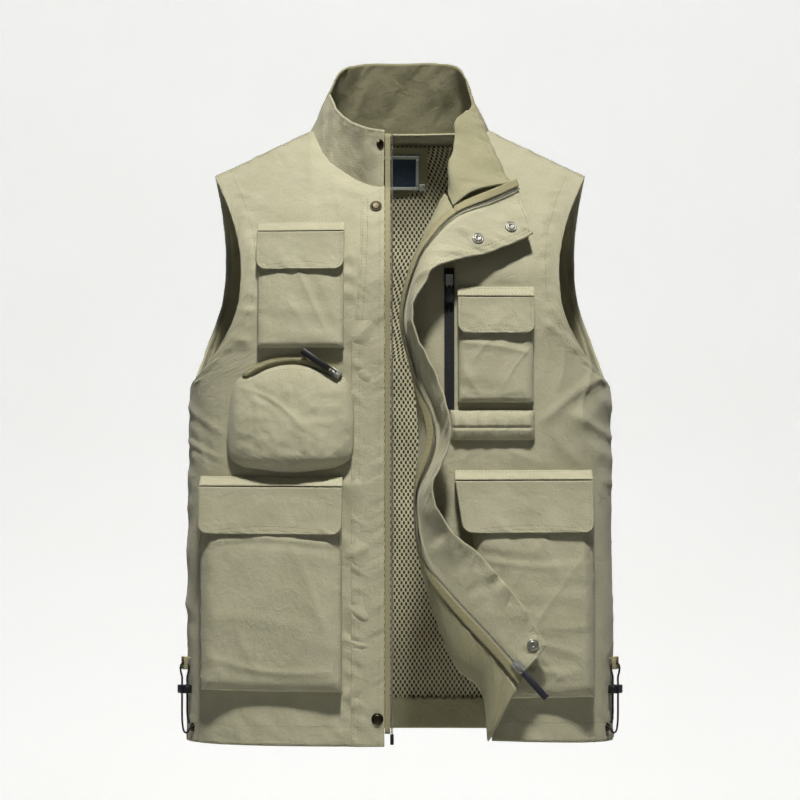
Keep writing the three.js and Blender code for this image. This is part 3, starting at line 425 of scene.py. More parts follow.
def gridPiece(name, outer, inner, material, sewn=(), uvShift=(0, 0)):
    rows, columns = outer.shape[:2]
    lengths = edgeLengths(outer)
    flatU, flatV = lengths["left"] + uvShift[0], lengths["bottom"] + uvShift[1]
    count = rows * columns
    points = np.concatenate([outer.reshape(-1, 3), inner.reshape(-1, 3)])
    index = np.arange(count).reshape(rows, columns)
    corners = index[:-1, :-1], index[:-1, 1:], index[1:, 1:], index[1:, :-1]
    outside = np.stack([corner.ravel() for corner in corners], 1)
    inside = outside[:, ::-1] + count
    rim = [np.stack([line[1:], line[:-1], line[:-1] + count, line[1:] + count], 1)
           for line in (index[0], index[:, -1], index[-1, ::-1], index[::-1, 0])]
    faces = np.concatenate([outside, inside] + rim)
    # turn the faces out if the grid runs the other way
    middle = outside[len(outside) // 2]
    q = points[middle]
    if np.cross(q[1] - q[0], q[3] - q[0]) @ (q[0] - points[middle[0] + count]) < 0:
        faces = faces[:, ::-1]
    faceList = faces.tolist()
    materialIndex = [0] * len(faceList)
    uvs = np.concatenate([np.stack([flatU.ravel(), flatV.ravel()], 1)] * 2)
    for path, n in sewn:
        made, tris = stitches(path, n)
        start = len(points)
        points = np.concatenate([points, made])
        uvs = np.concatenate([uvs, made[:, [0, 2]]])
        faceList += [[start + k for k in tri] for tri in tris]
        materialIndex += [1] * len(tris)
    mesh = meshOf(name, points, faceList, material, threadCotton)
    mesh.polygons.foreach_set("material_index", materialIndex)
    layer = mesh.uv_layers.new(name="cloth")
    loops = np.zeros(len(mesh.loops), int)
    mesh.loops.foreach_get("vertex_index", loops)
    layer.data.foreach_set("uv", (uvs[loops] * mm).astype(np.float32).ravel())
    mesh.update()
    return placed(name, mesh)


def sheetArea(p):
    du, dv = np.diff(p, axis=1)[:-1], np.diff(p, axis=0)[:, :-1]
    return float(np.linalg.norm(np.cross(du, dv), axis=-1).sum()) * mm * mm


# All in mm: seams pucker the cloth this far to either side, and it lies flat round a snap.
puckerReach = 9
snapFlat = {"inside": 6, "fade": 8}


def cloth(name, surface, us, vs, low, high, material, hint=(0, -1, 0), wrinkle=None, seams=(), held="hung",
          rests=(), nodes=(), ride=None, slot=None, pucker=0.5, declare=True, uvShift=(0, 0), flatRound=()):
    u, v = np.meshgrid(us, vs)
    p = surface(u, v)
    n = normalsOf(p, hint)
    lengths = edgeLengths(p)
    lift = np.zeros(u.shape)
    if wrinkle is not None:
        lift = lift + wrinkle(p, u, v, lengths)
    for i, (side, inset, *_) in enumerate(seams):
        near = np.exp(-((lengths[side] - inset) / puckerReach) ** 2)
        run = lengths["bottom"] if side in ("left", "right") else lengths["left"]
        slant = run + 0.5 * lengths[side]
        coarse, fine = noise(slant / 9, lengths[side] / 25, i), noise(slant / 5, run * 0, i + 5)
        lift = lift + pucker * near * (1.2 * coarse + 0.6 * fine)
    for spot in flatRound:
        lift = lift * smoothStep((np.linalg.norm(p - spot, axis=-1) - snapFlat["inside"]) / snapFlat["fade"])
    outer, inner = p + n * (high + lift)[..., None], p + n * (low + lift)[..., None]
    sewn = [seamPath(outer, n, *seam) for seam in seams]
    piece = gridPiece(name, outer, inner, material, sewn, uvShift=uvShift)
    if nodes:
        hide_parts(*nodes)
    if declare:
        area = sheetArea(p)
        width, tall = lengths["left"][:, -1].max() * mm, lengths["bottom"][-1].max() * mm
        if area < 0.4 * width * tall:
            width, tall = lengths["left"][:, -1].mean() * mm, lengths["bottom"][-1].mean() * mm
    if ride:
        hang(piece, ride)
    return piece


# Pieces of a front marked + stay where they lie; any other piece is hung from the empty of its body.
def hang(piece, where):
    if where in ("right_front+", "left_front+"):
        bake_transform(piece)
    else:
        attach(piece, where)


# ---- hem cords first: their routes repeat the solids'
sideCord = {"x": 239.7, "y": -53, "n": (0.934, -0.357, 0), "t": (-0.357, -0.934, 0), "diameter": 2.4}
cordLoop = [(-6.3, 9.3, -666), (-4.2, 9.6, -666.2), (-2.2, 9.2, -668.8), (-0.6, 7.2, -672),
            (1.6, 3.4, -671), (2.8, 0.8, -662), (3, 0, -650), (3, 0, -640), (3, 0, -630), (3, 0, -620),
            (3, 0, -611), (4.4, 0, -604.5), (4.8, 0, -600), (3.4, 0, -596.2), (0, 0, -595),
            (-3.4, 0, -596.2), (-4.8, 0, -600), (-4.4, 0, -604.5), (-3, 0, -611), (-3, 0, -620),
            (-3, 0, -630), (-3, 0, -640), (-3, 0, -650), (-3.4, 0.6, -656), (-4.8, 2, -662)]


def tubePiece(name, path, radius, sides, material, ribs=None):
    t = unit(np.gradient(path, axis=0))
    up = np.zeros_like(path)
    first = np.array([0.3, 0.8, 0.5])
    for i in range(len(path)):
        first = first - (first @ t[i]) * t[i]
        first /= np.linalg.norm(first)
        up[i] = first
    side = np.cross(t, up)
    run = distanceAlong(path)
    angles = np.arange(sides) / sides * 2 * math.pi
    r = np.full((len(path), sides), radius)
    if ribs:
        twist = run[:, None] / ribs[0] * 2 * math.pi
        r = r + ribs[1] * (np.cos(3 * angles[None] + twist) + np.cos(3 * angles[None] - twist)) / 2
    ring = path[:, None] + r[..., None] * (np.cos(angles)[None, :, None] * up[:, None]
                                           + np.sin(angles)[None, :, None] * side[:, None])
    points = np.concatenate([ring.reshape(-1, 3), path[:1], path[-1:]])
    faces = []
    for i in range(len(path) - 1):
        for k in range(sides):
            a, b = i * sides + k, i * sides + (k + 1) % sides
            faces.append((a, a + sides, b + sides, b))
    last = (len(path) - 1) * sides
    for k in range(sides):
        faces.append((len(points) - 2, k, (k + 1) % sides))
        faces.append((len(points) - 1, last + (k + 1) % sides, last + k))
    mesh = meshOf(name, points, faces, material)
    mesh.update()
    corners = [[mesh.vertices[k].co for k in face[:3]] for face in faces]
    if sum(a.cross(b).dot(c) for a, b, c in corners) < 0:
        mesh.flip_normals()
    return placed(name, mesh)


braid = cast("braided cord", "#222224", "#08080a", 0.75, 0.0, 0.7)
for side, sign in (("right", -1), ("left", 1)):
    n, t = np.array(sideCord["n"]), np.array(sideCord["t"])
    spots = [np.array([sideCord["x"], sideCord["y"], z]) + a * n + b * t for a, b, z in cordLoop]
    route = smoothCurve(spots)(shares(220)) * np.array([sign, 1, 1])
    piece = tubePiece(side + "HemCord", route, sideCord["diameter"] / 2 - 0.08, 12, braid, ribs=(3.2, 0.09))
    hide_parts(side + "_hem_cord")
    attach(piece, side + "_front")
print("cords laid")


# ---- where the fronts lie flat: under pockets, near zips and along seams the cloth can't wrinkle
def wellInside(x, z, box, soft=14):  # 1 inside a box, falling to 0 outside it
    x0, x1, z0, z1 = box
    d = np.maximum(np.maximum(x0 - x, x - x1), np.maximum(z0 - z, z - z1))
    return 1 - np.clip(d / soft, 0, 1) ** 0.7


rightFlat = [(-158, -60, -247, -104), (-222, -62, -690, -384), (-192, -50, -382, -250)]
leftFlat = [(62, 148, -307, -176), (54, 149, -348, -312), (58, 216, -690, -377), (47, 61, -316, -156)]


def frontWrinkle(boxes, seed, size):
    def lift(p, u, v, lengths):
        x, z = p[..., 0], p[..., 2]
        free = np.ones(x.shape)
        for box in boxes:
            free = free * (1 - wellInside(x, z, box))
        edge = np.minimum(lengths["left"], lengths["right"])
        free = free * np.clip(edge / 25, 0, 1) * np.clip((z - body["hemZ"]) / 20, 0.15, 1)
        free = free * np.clip((-z - np.maximum(np.abs(x) - shoulder["neck"], 0) * slope - 12) / 60, 0, 1)
        a = folds(x, z, 62, 34, 120, seed) ** 2
        b = folds(x, z, -48, 46, 150, seed + 9) ** 2
        c = folds(x, z, 10, 28, 90, seed + 4) ** 3
        seam = np.abs(lengths["right" if boxes is rightFlat else "left"] - 46)
        tug = noise((z + seam * 0.4) / 10, seam / 20, seed + 7) * (boxes is rightFlat)
        uneven = np.clip(0.6 + noise(x / 90, z / 90, seed), 0, 1)
        return 1.3 * np.exp(-(seam / 12) ** 2) * tug + size * free * (0.9 * a + 0.9 * b + 0.6 * c) * uneven
    return lift


def middles(*names):
    return [np.array((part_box(name)[0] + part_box(name)[1]) / 2) / mm for name in names]


shell = 2.0
halfShell = shell / 2
cloths = {"mesh": 1.2, "gap": 0.7, "facing": 1.6, "air": 0.6, "tape": 0.9}
front = {"rightEdge": 17, "placketWidth": 36.7, "necklineZ": -68, "collarHeight": 65, "collarLean": 8}
facingShare = 1 - front["placketWidth"] / (body["hemHalf"] - front["rightEdge"])

# ---- back
neckShare = 0.26


def backTop(u):
    u = np.asarray(u, float)
    t = np.minimum(u, 1 - u)
    tip, neck = np.array(shoulderTip, float), np.array(neckPoint, float)
    a = tip + (neck - tip) * (t / neckShare)[..., None]
    b = neck * (1 - ((t - neckShare) / (0.5 - neckShare))[..., None])
    p = np.where((t < neckShare)[..., None], a, b)
    return p * np.where(u < 0.5, -1, 1)[..., None] ** np.array([1, 0, 0])


backSurface = patch(mirroredX(backOuter), backOuter, straight(flip(hemCorner), hemCorner), backTop, backY)


def backWrinkle(p, u, v, lengths):
    x, z = p[..., 0], p[..., 2]
    sides = np.minimum(lengths["left"], lengths["right"])
    free = np.clip(sides / 40, 0, 1) * np.clip(lengths["top"] / 70, 0, 1)
    low = folds(x, z, 86, 52, 260, 31) ** 2 * np.clip((-z - 150) / 300, 0, 1)
    high = folds(x, z, 30, 40, 150, 35) ** 2 + folds(x, z, -30, 44, 150, 37) ** 2
    return 2.6 * free * (low + 0.5 * high)


backU, backV = shares(170), shares(230)
cloth("backPanel", backSurface, backU, backV, 0, shell, shellTwill, hint=(0, 1, 0), wrinkle=backWrinkle,
      seams=[("bottom", 22), ("left", 3, 0, 0.6), ("right", 3, 0, 0.6), ("left", 20, 0.62, 0.99),
             ("right", 20, 0.62, 0.99), ("bottom", 3)],
      nodes=["back_panel"], ride="back", slot="shell", rests=["collar_back"])
liningIn = -cloths["gap"] - cloths["mesh"]


def liningRipple(p, u, v, lengths):
    x, z = p[..., 0], p[..., 2]
    sides = np.minimum(lengths["left"], lengths["right"])
    free = np.clip(sides / 30, 0, 1) * np.clip(lengths["top"] / 60, 0, 1)
    free = free * np.clip((lengths["bottom"] - 40) / 60, 0, 1)
    return -free * (3.2 * folds(x, z, 80, 60, 300, 51) ** 2 + 1.6 * folds(x, z, 20, 50, 160, 55) ** 2)


cloth("backMeshLining", backSurface, shares(150, 0.02, 0.98), shares(190) * 0.98,
      liningIn, -cloths["gap"], panelNet, hint=(0, 1, 0), wrinkle=liningRipple, nodes=["back_mesh_lining"],
      ride="back", slot="mesh")
facingIn = liningIn - cloths["air"]
neckPatch = {"half": 0.08, "low": 0.88, "high": 0.98}
cloth("neckFacing", backSurface, shares(40, 0.5 - neckPatch["half"], 0.5 + neckPatch["half"]),
      shares(50, neckPatch["low"], neckPatch["high"]), facingIn - cloths["facing"], facingIn,
      shadedFacingTwill, hint=(0, 1, 0), seams=[("bottom", 3), ("left", 3), ("right", 3)], nodes=["neck_facing"],
      ride="back", slot="facing", pucker=0.15)
label = {"gap": 0.9, "weave": 0.8, "border": (0.85, 1.1), "tab": (0.5, 1.2)}
labelIn = facingIn - cloths["facing"] - label["gap"]
cloth("neckLabel", backSurface, shares(24, 0.445, 0.555), shares(24, 0.895, 0.965),
      labelIn - label["weave"], labelIn, labelWeave, hint=(0, 1, 0), nodes=["neck_label"], ride="back",
      slot="label")

# the border is four strips between these shares of the back's width and height
u0, u1, u2, u3 = 0.446, 0.454, 0.546, 0.554
v0, v1, v2, v3 = 0.8955, 0.9015, 0.9585, 0.9645
strips = {"Top": (u0, u3, v2, v3), "Bottom": (u0, u3, v0, v1), "Left": (u0, u1, v1, v2),
          "Right": (u2, u3, v1, v2)}
for edge, (left, right, low, high) in strips.items():
    cloth("labelBorder" + edge, backSurface, shares(12, left, right), shares(12, low, high),
          labelIn - label["border"][1], labelIn - label["border"][0], labelBorder, hint=(0, 1, 0),
          ride="back", slot="label", declare=False)
cloth("sizeTab", backSurface, shares(8, 0.556, 0.572), shares(8, 0.894, 0.907), labelIn - label["tab"][1],
      labelIn - label["tab"][0], labelBorder, hint=(0, 1, 0), ride="back", slot="label", declare=False)

armFacing = {"low": 0.6, "high": 0.985, "wide": 0.16}
for name, edge in (("Right", 0.01), ("Left", 0.99)):
    inwards = armFacing["wide"] if edge < 0.5 else -armFacing["wide"]
    cloth("armhole" + name + "Facing", backSurface, shares(24, edge, edge + inwards),
          shares(70, armFacing["low"], armFacing["high"]), facingIn - cloths["facing"], facingIn,
          shadedFacingTwill, hint=(0, 1, 0), ride="back", slot="facing", declare=False, pucker=0.2,
          seams=[("right", 3)])

hemStrip = {"height": 0.05, "scallop": 0.045, "pitch": 11, "halfWidth": 215, "start": 0.035, "end": 0.965}


def hemSurface(u, v):  # its top edge is scalloped by the stitches that pull it
    x = lerp(-hemStrip["halfWidth"], hemStrip["halfWidth"], u)
    wave = hemStrip["scallop"] * np.cos(x / hemStrip["pitch"] * 2 * math.pi)
    return backSurface(lerp(hemStrip["start"], hemStrip["end"], u), v * hemStrip["height"] * (1 + wave * v))


cloth("backHemFacing", hemSurface, shares(260), shares(14), facingIn - cloths["facing"], facingIn,
      shadedFacingTwill, hint=(0, 1, 0), seams=[("top", 3)], nodes=["back_hem_facing"], ride="back", slot="facing")
print("back made")

# ---- wearer's right front
frontFoot, neckCorner = (front["rightEdge"], 0, body["hemZ"]), (front["rightEdge"], 0, front["necklineZ"])
rightNeckline = smoothCurve([neckCorner, (36, 0, -65), (60, 0, -52), (82, 0, -33), neckPoint])
rightInner = chained(straight(frontFoot, neckCorner), rightNeckline, necklineShare)
rightSurface = patch(mirroredX(frontOuter), mirroredX(rightInner), straight(flip(hemCorner), flip(frontFoot)),
                     straight(flip(shoulderTip), flip(neckPoint)), frontY)
rightWrinkle = frontWrinkle(rightFlat, 11, 3.6)
sideU = np.concatenate([np.linspace(0, 0.2, 32), np.linspace(0.2, 1, 70)[1:]])
cloth("rightFrontPanel", rightSurface, sideU, shares(250), 0, shell, shellTwill, wrinkle=rightWrinkle,
      seams=[("bottom", 22), ("bottom", 3), ("left", 3, 0, 0.6), ("left", 20, 0.61, 0.99), ("top", 6)],
      nodes=["right_front_panel"], ride="right_front+", slot="shell", pucker=0.75)
cloth("rightFrontLining", rightSurface, shares(60, 0.03, facingShare), shares(150) * 0.965, liningIn,
      -cloths["gap"], panelNet, nodes=["right_front_lining"], ride="right_front+", slot="mesh")
cloth("rightFacing", rightSurface, shares(14, facingShare + 0.01, 0.998), shares(200) * necklineShare,
      -cloths["gap"] - cloths["facing"], -cloths["gap"], shadedFacingTwill, nodes=["right_facing"],
      ride="right_front+", slot="facing", seams=[("left", 3), ("right", 5)])
overlay = shell + cloths["air"]


def placketWrinkle(p, u, v, lengths):
    run = p[..., 2]
    middle = np.sin(math.pi * u) ** 0.7
    return middle * (0.55 * noise(run / 21, u * 2, 61) + 0.35 * noise(run / 9, u * 3, 62) + 0.3)


cloth("rightPlacket", rightSurface, shares(26, facingShare, 1), shares(330) * necklineShare, overlay,
      overlay + cloths["facing"], shellTwill, wrinkle=placketWrinkle, nodes=["right_placket"],
      ride="right_front+", slot="shell", pucker=0.6, flatRound=middles("right_snap_chest", "right_snap_hem"),
      seams=[("left", 3), ("right", 6), ("bottom", 22), ("bottom", 3), ("left", 9)])


def rightEdgeY(z):
    below = frontY(np.zeros_like(z), np.minimum(z, front["necklineZ"]))
    rise = np.clip((z - front["necklineZ"]) / front["collarHeight"], 0, 1)
    return below - shell / 2 + rise * front["collarLean"]


rightZip = {"aboveHem": 14, "belowTop": 4, "tape": (-16.6, -10.6), "halfTape": 0.5, "teethX": -8.8}
zipLow = body["hemZ"] + rightZip["aboveHem"]
zipHigh = front["necklineZ"] + front["collarHeight"] - rightZip["belowTop"]


def rightTapeSurface(u, v):
    z = lerp(zipLow, zipHigh, v)
    return np.stack([lerp(*rightZip["tape"], u), rightEdgeY(z), z], -1)


def coilPiece(name, path, normal, radius=1.35, wire=0.5, pitch=1.9, material=coilNylon, squashed=0.75):
    run = distanceAlong(path)
    perTurn = 8
    count = max(int(run[-1] / pitch), 2) * perTurn
    s = np.linspace(0, run[-1], count)
    centre = np.stack([np.interp(s, run, path[:, k]) for k in range(3)], -1)
    up = np.stack([np.interp(s, run, normal[:, k]) for k in range(3)], -1)
    t = unit(np.gradient(centre, axis=0))
    up = unit(up - (up * t).sum(1, keepdims=True) * t)
    side = np.cross(t, up)
    angle = np.arange(count) / perTurn * 2 * math.pi
    line = centre + (radius - wire) * (np.cos(angle)[:, None] * side + squashed * np.sin(angle)[:, None] * up)
    return tubePiece(name, line, wire, 4, material)


cloth("rightZipTape", rightTapeSurface, shares(6), shares(160), -rightZip["halfTape"], rightZip["halfTape"],
      khakiTape, nodes=["right_zip_tape"], ride="right_front+", slot="tape", declare=False)
edgeZ = np.linspace(zipLow, zipHigh, 200)
teeth = np.stack([np.full(200, rightZip["teethX"]), rightEdgeY(edgeZ), edgeZ], -1)
piece = coilPiece("rightZipCoil", teeth, np.tile([0, -1.0, 0], (200, 1)))
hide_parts("right_zip_coil")
hang(piece, "right_front+")
print("right front made")


# ---- collar: cloth hung between rails that run along the neck
def railSurface(rails):
    def at(u, v):
        pts = [flatten(rail)(u) for rail in rails]
        if len(pts) == 2:
            return lerp(pts[0], pts[1], v[..., None])
        out = np.zeros(u.shape + (3,))
        for j in range(u.shape[1]):
            column = smoothCurve([p[0, j] for p in pts])
            out[:, j] = column(v[:, j])
        return out
    return at


def seated(p):
    return (p[0], frontAt(p[0], p[2]), p[2] + shell + halfShell)


def inset(curve, start=0.006, end=1.0):
    return lambda t: curve(lerp(start, end, np.asarray(t, float)))


topAtNeck = (79, 4, 43)
rightSeam = smoothCurve([flip(seated(p)) for p in
                         (neckPoint, (82, 0, -33), (60, 0, -52), (36, 0, -65), (18, 0, -68))])
collarEdgeY = float(rightEdgeY(np.array(-3.0)))
rightTop = smoothCurve([flip(topAtNeck), (-70, -38, 22), (-56, -62, 8), (-36, -80, -1),
                        (-18, collarEdgeY, -3)])


def collarWrinkle(p, u, v, lengths):
    middle = np.sin(math.pi * np.clip(v, 0, 1)) ** 0.8
    run = lengths["left"]
    return 1.6 * middle * (noise(run / 19, v * 2, 71) + 0.5 * noise(run / 9, v * 3, 72))


collarSeams = [("top", 3), ("top", 9), ("bottom", 3)]
cloth("rightCollar", railSurface([inset(rightSeam), inset(rightTop)]), shares(80),
      np.linspace(-0.07, 1, 32), -halfShell, halfShell, shellTwill, wrinkle=collarWrinkle,
      nodes=["right_collar"], ride="right_front+", slot="shell", seams=collarSeams + [("right", 3)],
      flatRound=middles("right_snap_collar"))
backSeam = smoothCurve([seated(flip(neckPoint)), (-88, 32, 3), (-52, 54, 5), (0, 62, 5), (52, 54, 5),
                        (88, 32, 3), seated(neckPoint)])
backCollarTop = smoothCurve([flip(topAtNeck), (-68, 16, 69), (-42, 33, 79), (0, 39, 80), (42, 33, 80),
                             (68, 16, 72), topAtNeck])
cloth("collarBack", railSurface([inset(backSeam, 0.006, 0.994), inset(backCollarTop, 0.006, 0.994)]),
      shares(140), np.linspace(-0.09, 1, 32), -halfShell, halfShell, shadedFacingTwill, hint=(0, 1, 0),
      wrinkle=collarWrinkle, nodes=["collar_back"], ride="back", slot="shell", seams=collarSeams)

# ---- wearer's left front, turned open
foldRail = smoothCurve([(101, 0, -676), (94, 0, -622), (66, 0, -594), (45, 0, -543), (28, 0, -477),
                        (23, 0, -410), (26, 0, -342), (20, 0, -275), (7, 0, -215), (16, 0, -160),
                        (34, 0, -118), (55, 0, -72)])
collarStart = 11 / 13
collarFold = smoothCurve([(56, -84, -70), (90, -92, -62), (124, -70, -48)])
zipTo, zipFrom = np.array([139, -146, -594.0]), np.array([60, -146, -508.0])
zipRail = smoothCurve([zipTo, lerp(zipTo, zipFrom, 1 / 3), lerp(zipTo, zipFrom, 2 / 3), zipFrom,
                       (30, -142, -470), (21, -140, -410), (44, -142, -338), (20, -141, -270),
                       (8, -140, -212), (24, -138, -150), (45, -130, -122), (66, -122, -105),
                       (98, -104, -92), (132, -80, -76)])
flapRail = smoothCurve([(160, -142, -570), (131, -146, -522), (109, -150, -496), (84, -154, -468),
                        (58, -158, -446), (36, -164, -405), (57, -160, -336), (36, -162, -272),
                        (12, -166, -214), (34, -160, -162), (58, -148, -150), (88, -136, -144),
                        (118, -122, -134), (146, -108, -120)])
leftNeckline = smoothCurve([foldRail(1)[0], (72, 0, -48), (86, 0, -28), neckPoint])
leftInner = chained(foldRail, leftNeckline, necklineShare)
leftSurface = patch(leftInner, frontOuter, straight(foldRail(0)[0], hemCorner),
                    straight(neckPoint, shoulderTip), frontY)
leftWrinkle = frontWrinkle(leftFlat, 23, 3.6)
leftU = 1 - sideU[::-1]
cloth("leftFrontPanel", leftSurface, leftU, shares(250), 0, shell, shellTwill, wrinkle=leftWrinkle,
      seams=[("bottom", 22), ("bottom", 3), ("right", 3, 0, 0.6), ("right", 20, 0.61, 0.99), ("top", 6)],
      nodes=["left_front_panel"], ride="left_front+", slot="shell", pucker=0.75)
cloth("leftFrontLining", leftSurface, np.linspace(0, 0.97, 70), shares(150) * 0.965, liningIn,
      -cloths["gap"], panelNet, nodes=["left_front_lining"], ride="left_front+", slot="mesh")
leaving = 20


def turnStart(t):
    t = np.asarray(t, float)
    fold = foldRail(np.minimum(t / collarStart, 1))
    low = np.stack([fold[..., 0] - shell - 2.4, frontY(fold[..., 0], fold[..., 2]) - 2.9, fold[..., 2]], -1)
    return np.where((t > collarStart)[..., None], collarFold((t - collarStart) / (1 - collarStart)), low)


def turnout(s, t):
    shape = np.asarray(s).shape
    s, t = np.asarray(s, float).ravel(), np.asarray(t, float).ravel()
    zipLine, flapLine, start = zipRail(t), flapRail(t), turnStart(t)
    stand = leaving * np.clip((collarStart - t) * 12, 0, 1)
    middle = lerp(start, zipLine, 0.1) + np.stack([stand * 0, -stand, stand * 0], -1)
    w = np.minimum(s, 1)[:, None]
    inner = (1 - w) ** 2 * start + 2 * w * (1 - w) * middle + w ** 2 * zipLine
    outer = lerp(zipLine, flapLine, (s - 1)[:, None])
    return np.where((s > 1)[:, None], outer, inner).reshape(shape + (3,))


def shareInside(t, distance):
    t = np.asarray(t, float)
    gap = np.linalg.norm(turnStart(t.ravel()) - zipRail(t.ravel()), axis=1).reshape(t.shape)
    return 1 - distance / gap


tapeWidth, coilInset = 11, 5.5
seamShare = lambda t: shareInside(t, tapeWidth) - 0.03
between = lambda a, b: (lambda u, v: turnout(lerp(a(v), b(v), u), v))


def edgeWrinkle(size, seed):
    def lift(p, u, v, lengths):
        run = lengths["bottom"]
        inside = np.clip(lengths["left"] / 8, 0, 1)
        low = np.clip((-p[..., 2] - 520) / 120, 0, 1) * (p[..., 2] < -300)
        across = folds(run, lengths["left"], 4, 13, 60, seed)
        broad = noise(run / 26, lengths["left"] / 20, seed + 2)
        return size * inside * (0.4 + 1.1 * low) * (across ** 2 - 0.35 + 0.4 * broad)
    return lift


leftFacingLift = (1.3, 2.7)
placketV = np.linspace(0, collarStart - 0.004, 300)
cloth("leftPlacket", between(lambda t: t * 0, seamShare), shares(24), placketV, -halfShell, halfShell,
      shellTwill, nodes=["left_placket"], ride="left_front+", slot="shell")
cloth("leftFacing", between(lambda t: t * 0 + 0.12, lambda t: seamShare(t) - 0.02), shares(26), placketV,
      *leftFacingLift, shadedFacingTwill, wrinkle=edgeWrinkle(0.9, 81), nodes=["left_facing"], ride="left_front+",
      slot="facing", seams=[("right", 4), ("left", 5)], pucker=0.5)
edgeV = shares(380)
flapStart = 0.3


def stormSurface(u, v):
    behind = lerp(shareInside(v, tapeWidth), 1, u / flapStart)
    return turnout(np.where(u < flapStart, behind, 1 + (u - flapStart) / (1 - flapStart)), v)


def flapWrinkle(p, u, v, lengths):
    run = lengths["bottom"]
    free = np.clip((u - flapStart) / 0.4, 0, 1)
    return free * (2.6 * noise(run / 26, u * 2, 91) + 1.5 * noise(run / 10, u * 2, 93))


cloth("leftStormFlap", stormSurface, shares(36), edgeV, -halfShell, halfShell, shellTwill,
      wrinkle=flapWrinkle, nodes=["left_storm_flap"], ride="left_front+", slot="shell",
      seams=[("right", 4.5), ("right", 9), ("bottom", 4), ("top", 4)], pucker=1.0,
      flatRound=middles("left_snap_collar", "left_snap_chest", "left_snap_hem"))
leftTape = between(lambda t: shareInside(t, tapeWidth + 1.5), lambda t: shareInside(t, coilInset))
tapeLift = halfShell + 0.5 + cloths["facing"] + cloths["air"]
cloth("leftZipTape", leftTape, shares(6), edgeV, tapeLift, tapeLift + cloths["tape"], khakiTape,
      nodes=["left_zip_tape"], ride="left_front+", slot="tape", declare=False)
tu, tv = np.meshgrid([0.0, 0.5, 1.0], np.linspace(0.006, 1, 420))
tapeGrid = leftTape(tu, tv)
tapeUp = normalsOf(tapeGrid, (0, -1, 0))
lifted = tapeGrid + tapeUp * (tapeLift + 0.5)
piece = coilPiece("leftZipCoil", lerp(lifted[:, 2], lifted[:, 0], -0.28), tapeUp[:, 2])
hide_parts("left_zip_coil")
hang(piece, "left_front+")
onFront = [seated(p) for p in (neckPoint, (86, 0, -28), (72, 0, -48))]
leftSeam = smoothCurve(onFront + [(54, -82, -69), (61, -113, -97)])
leftRoll = smoothCurve([(90, 5, 24), (66, -28, 14), (60, -58, -22), (58, -84, -52), (94, -100, -78)])
leftTop = smoothCurve([topAtNeck, (90, -14, 14), (106, -42, -26), (121, -62, -58), (128, -76, -62)])
leftRails = [inset(rail, 0.006, 0.93) for rail in (leftSeam, leftRoll, leftTop)]
cloth("leftCollar", railSurface(leftRails), shares(90), shares(44), -halfShell, halfShell, shadedFacingTwill,
      wrinkle=collarWrinkle, nodes=["left_collar"], ride="left_front+", slot="shell",
      seams=[("top", 3), ("top", 9)], pucker=1.1)
print("left front made")


# ---- pockets
seat = shell + 0.8


def pocketFloor(x, z):
    tilt = frontY(x + 0.5, z) - frontY(x - 0.5, z)
    return frontY(x, z) - seat * np.hypot(1, tilt)


def flatFace(pocket):
    limits = [pocket.get("bottomX", pocket["x"]), pocket["x"]]

    def corner(i, j):
        x, z = float(limits[j][i]), float(pocket["z"][j])
        return np.array([x, float(pocketFloor(np.array(x), np.array(z))) - pocket["stand"][j][i], z])
    low, high = straight(corner(0, 0), corner(1, 0)), straight(corner(0, 1), corner(1, 1))
    return lambda u, v: lerp(flatten(low)(u), flatten(high)(u), np.asarray(v)[..., None])


def riseTo(t, width):
    return 1 - (1 - np.clip(t / width, 0, 1)) ** 2


band = {"gap": 0.5, "flap": 2.2, "above": 1.5, "height": 10}
wallSteps = np.array([0, 0.12, 0.3, 0.5, 0.7, 0.88])


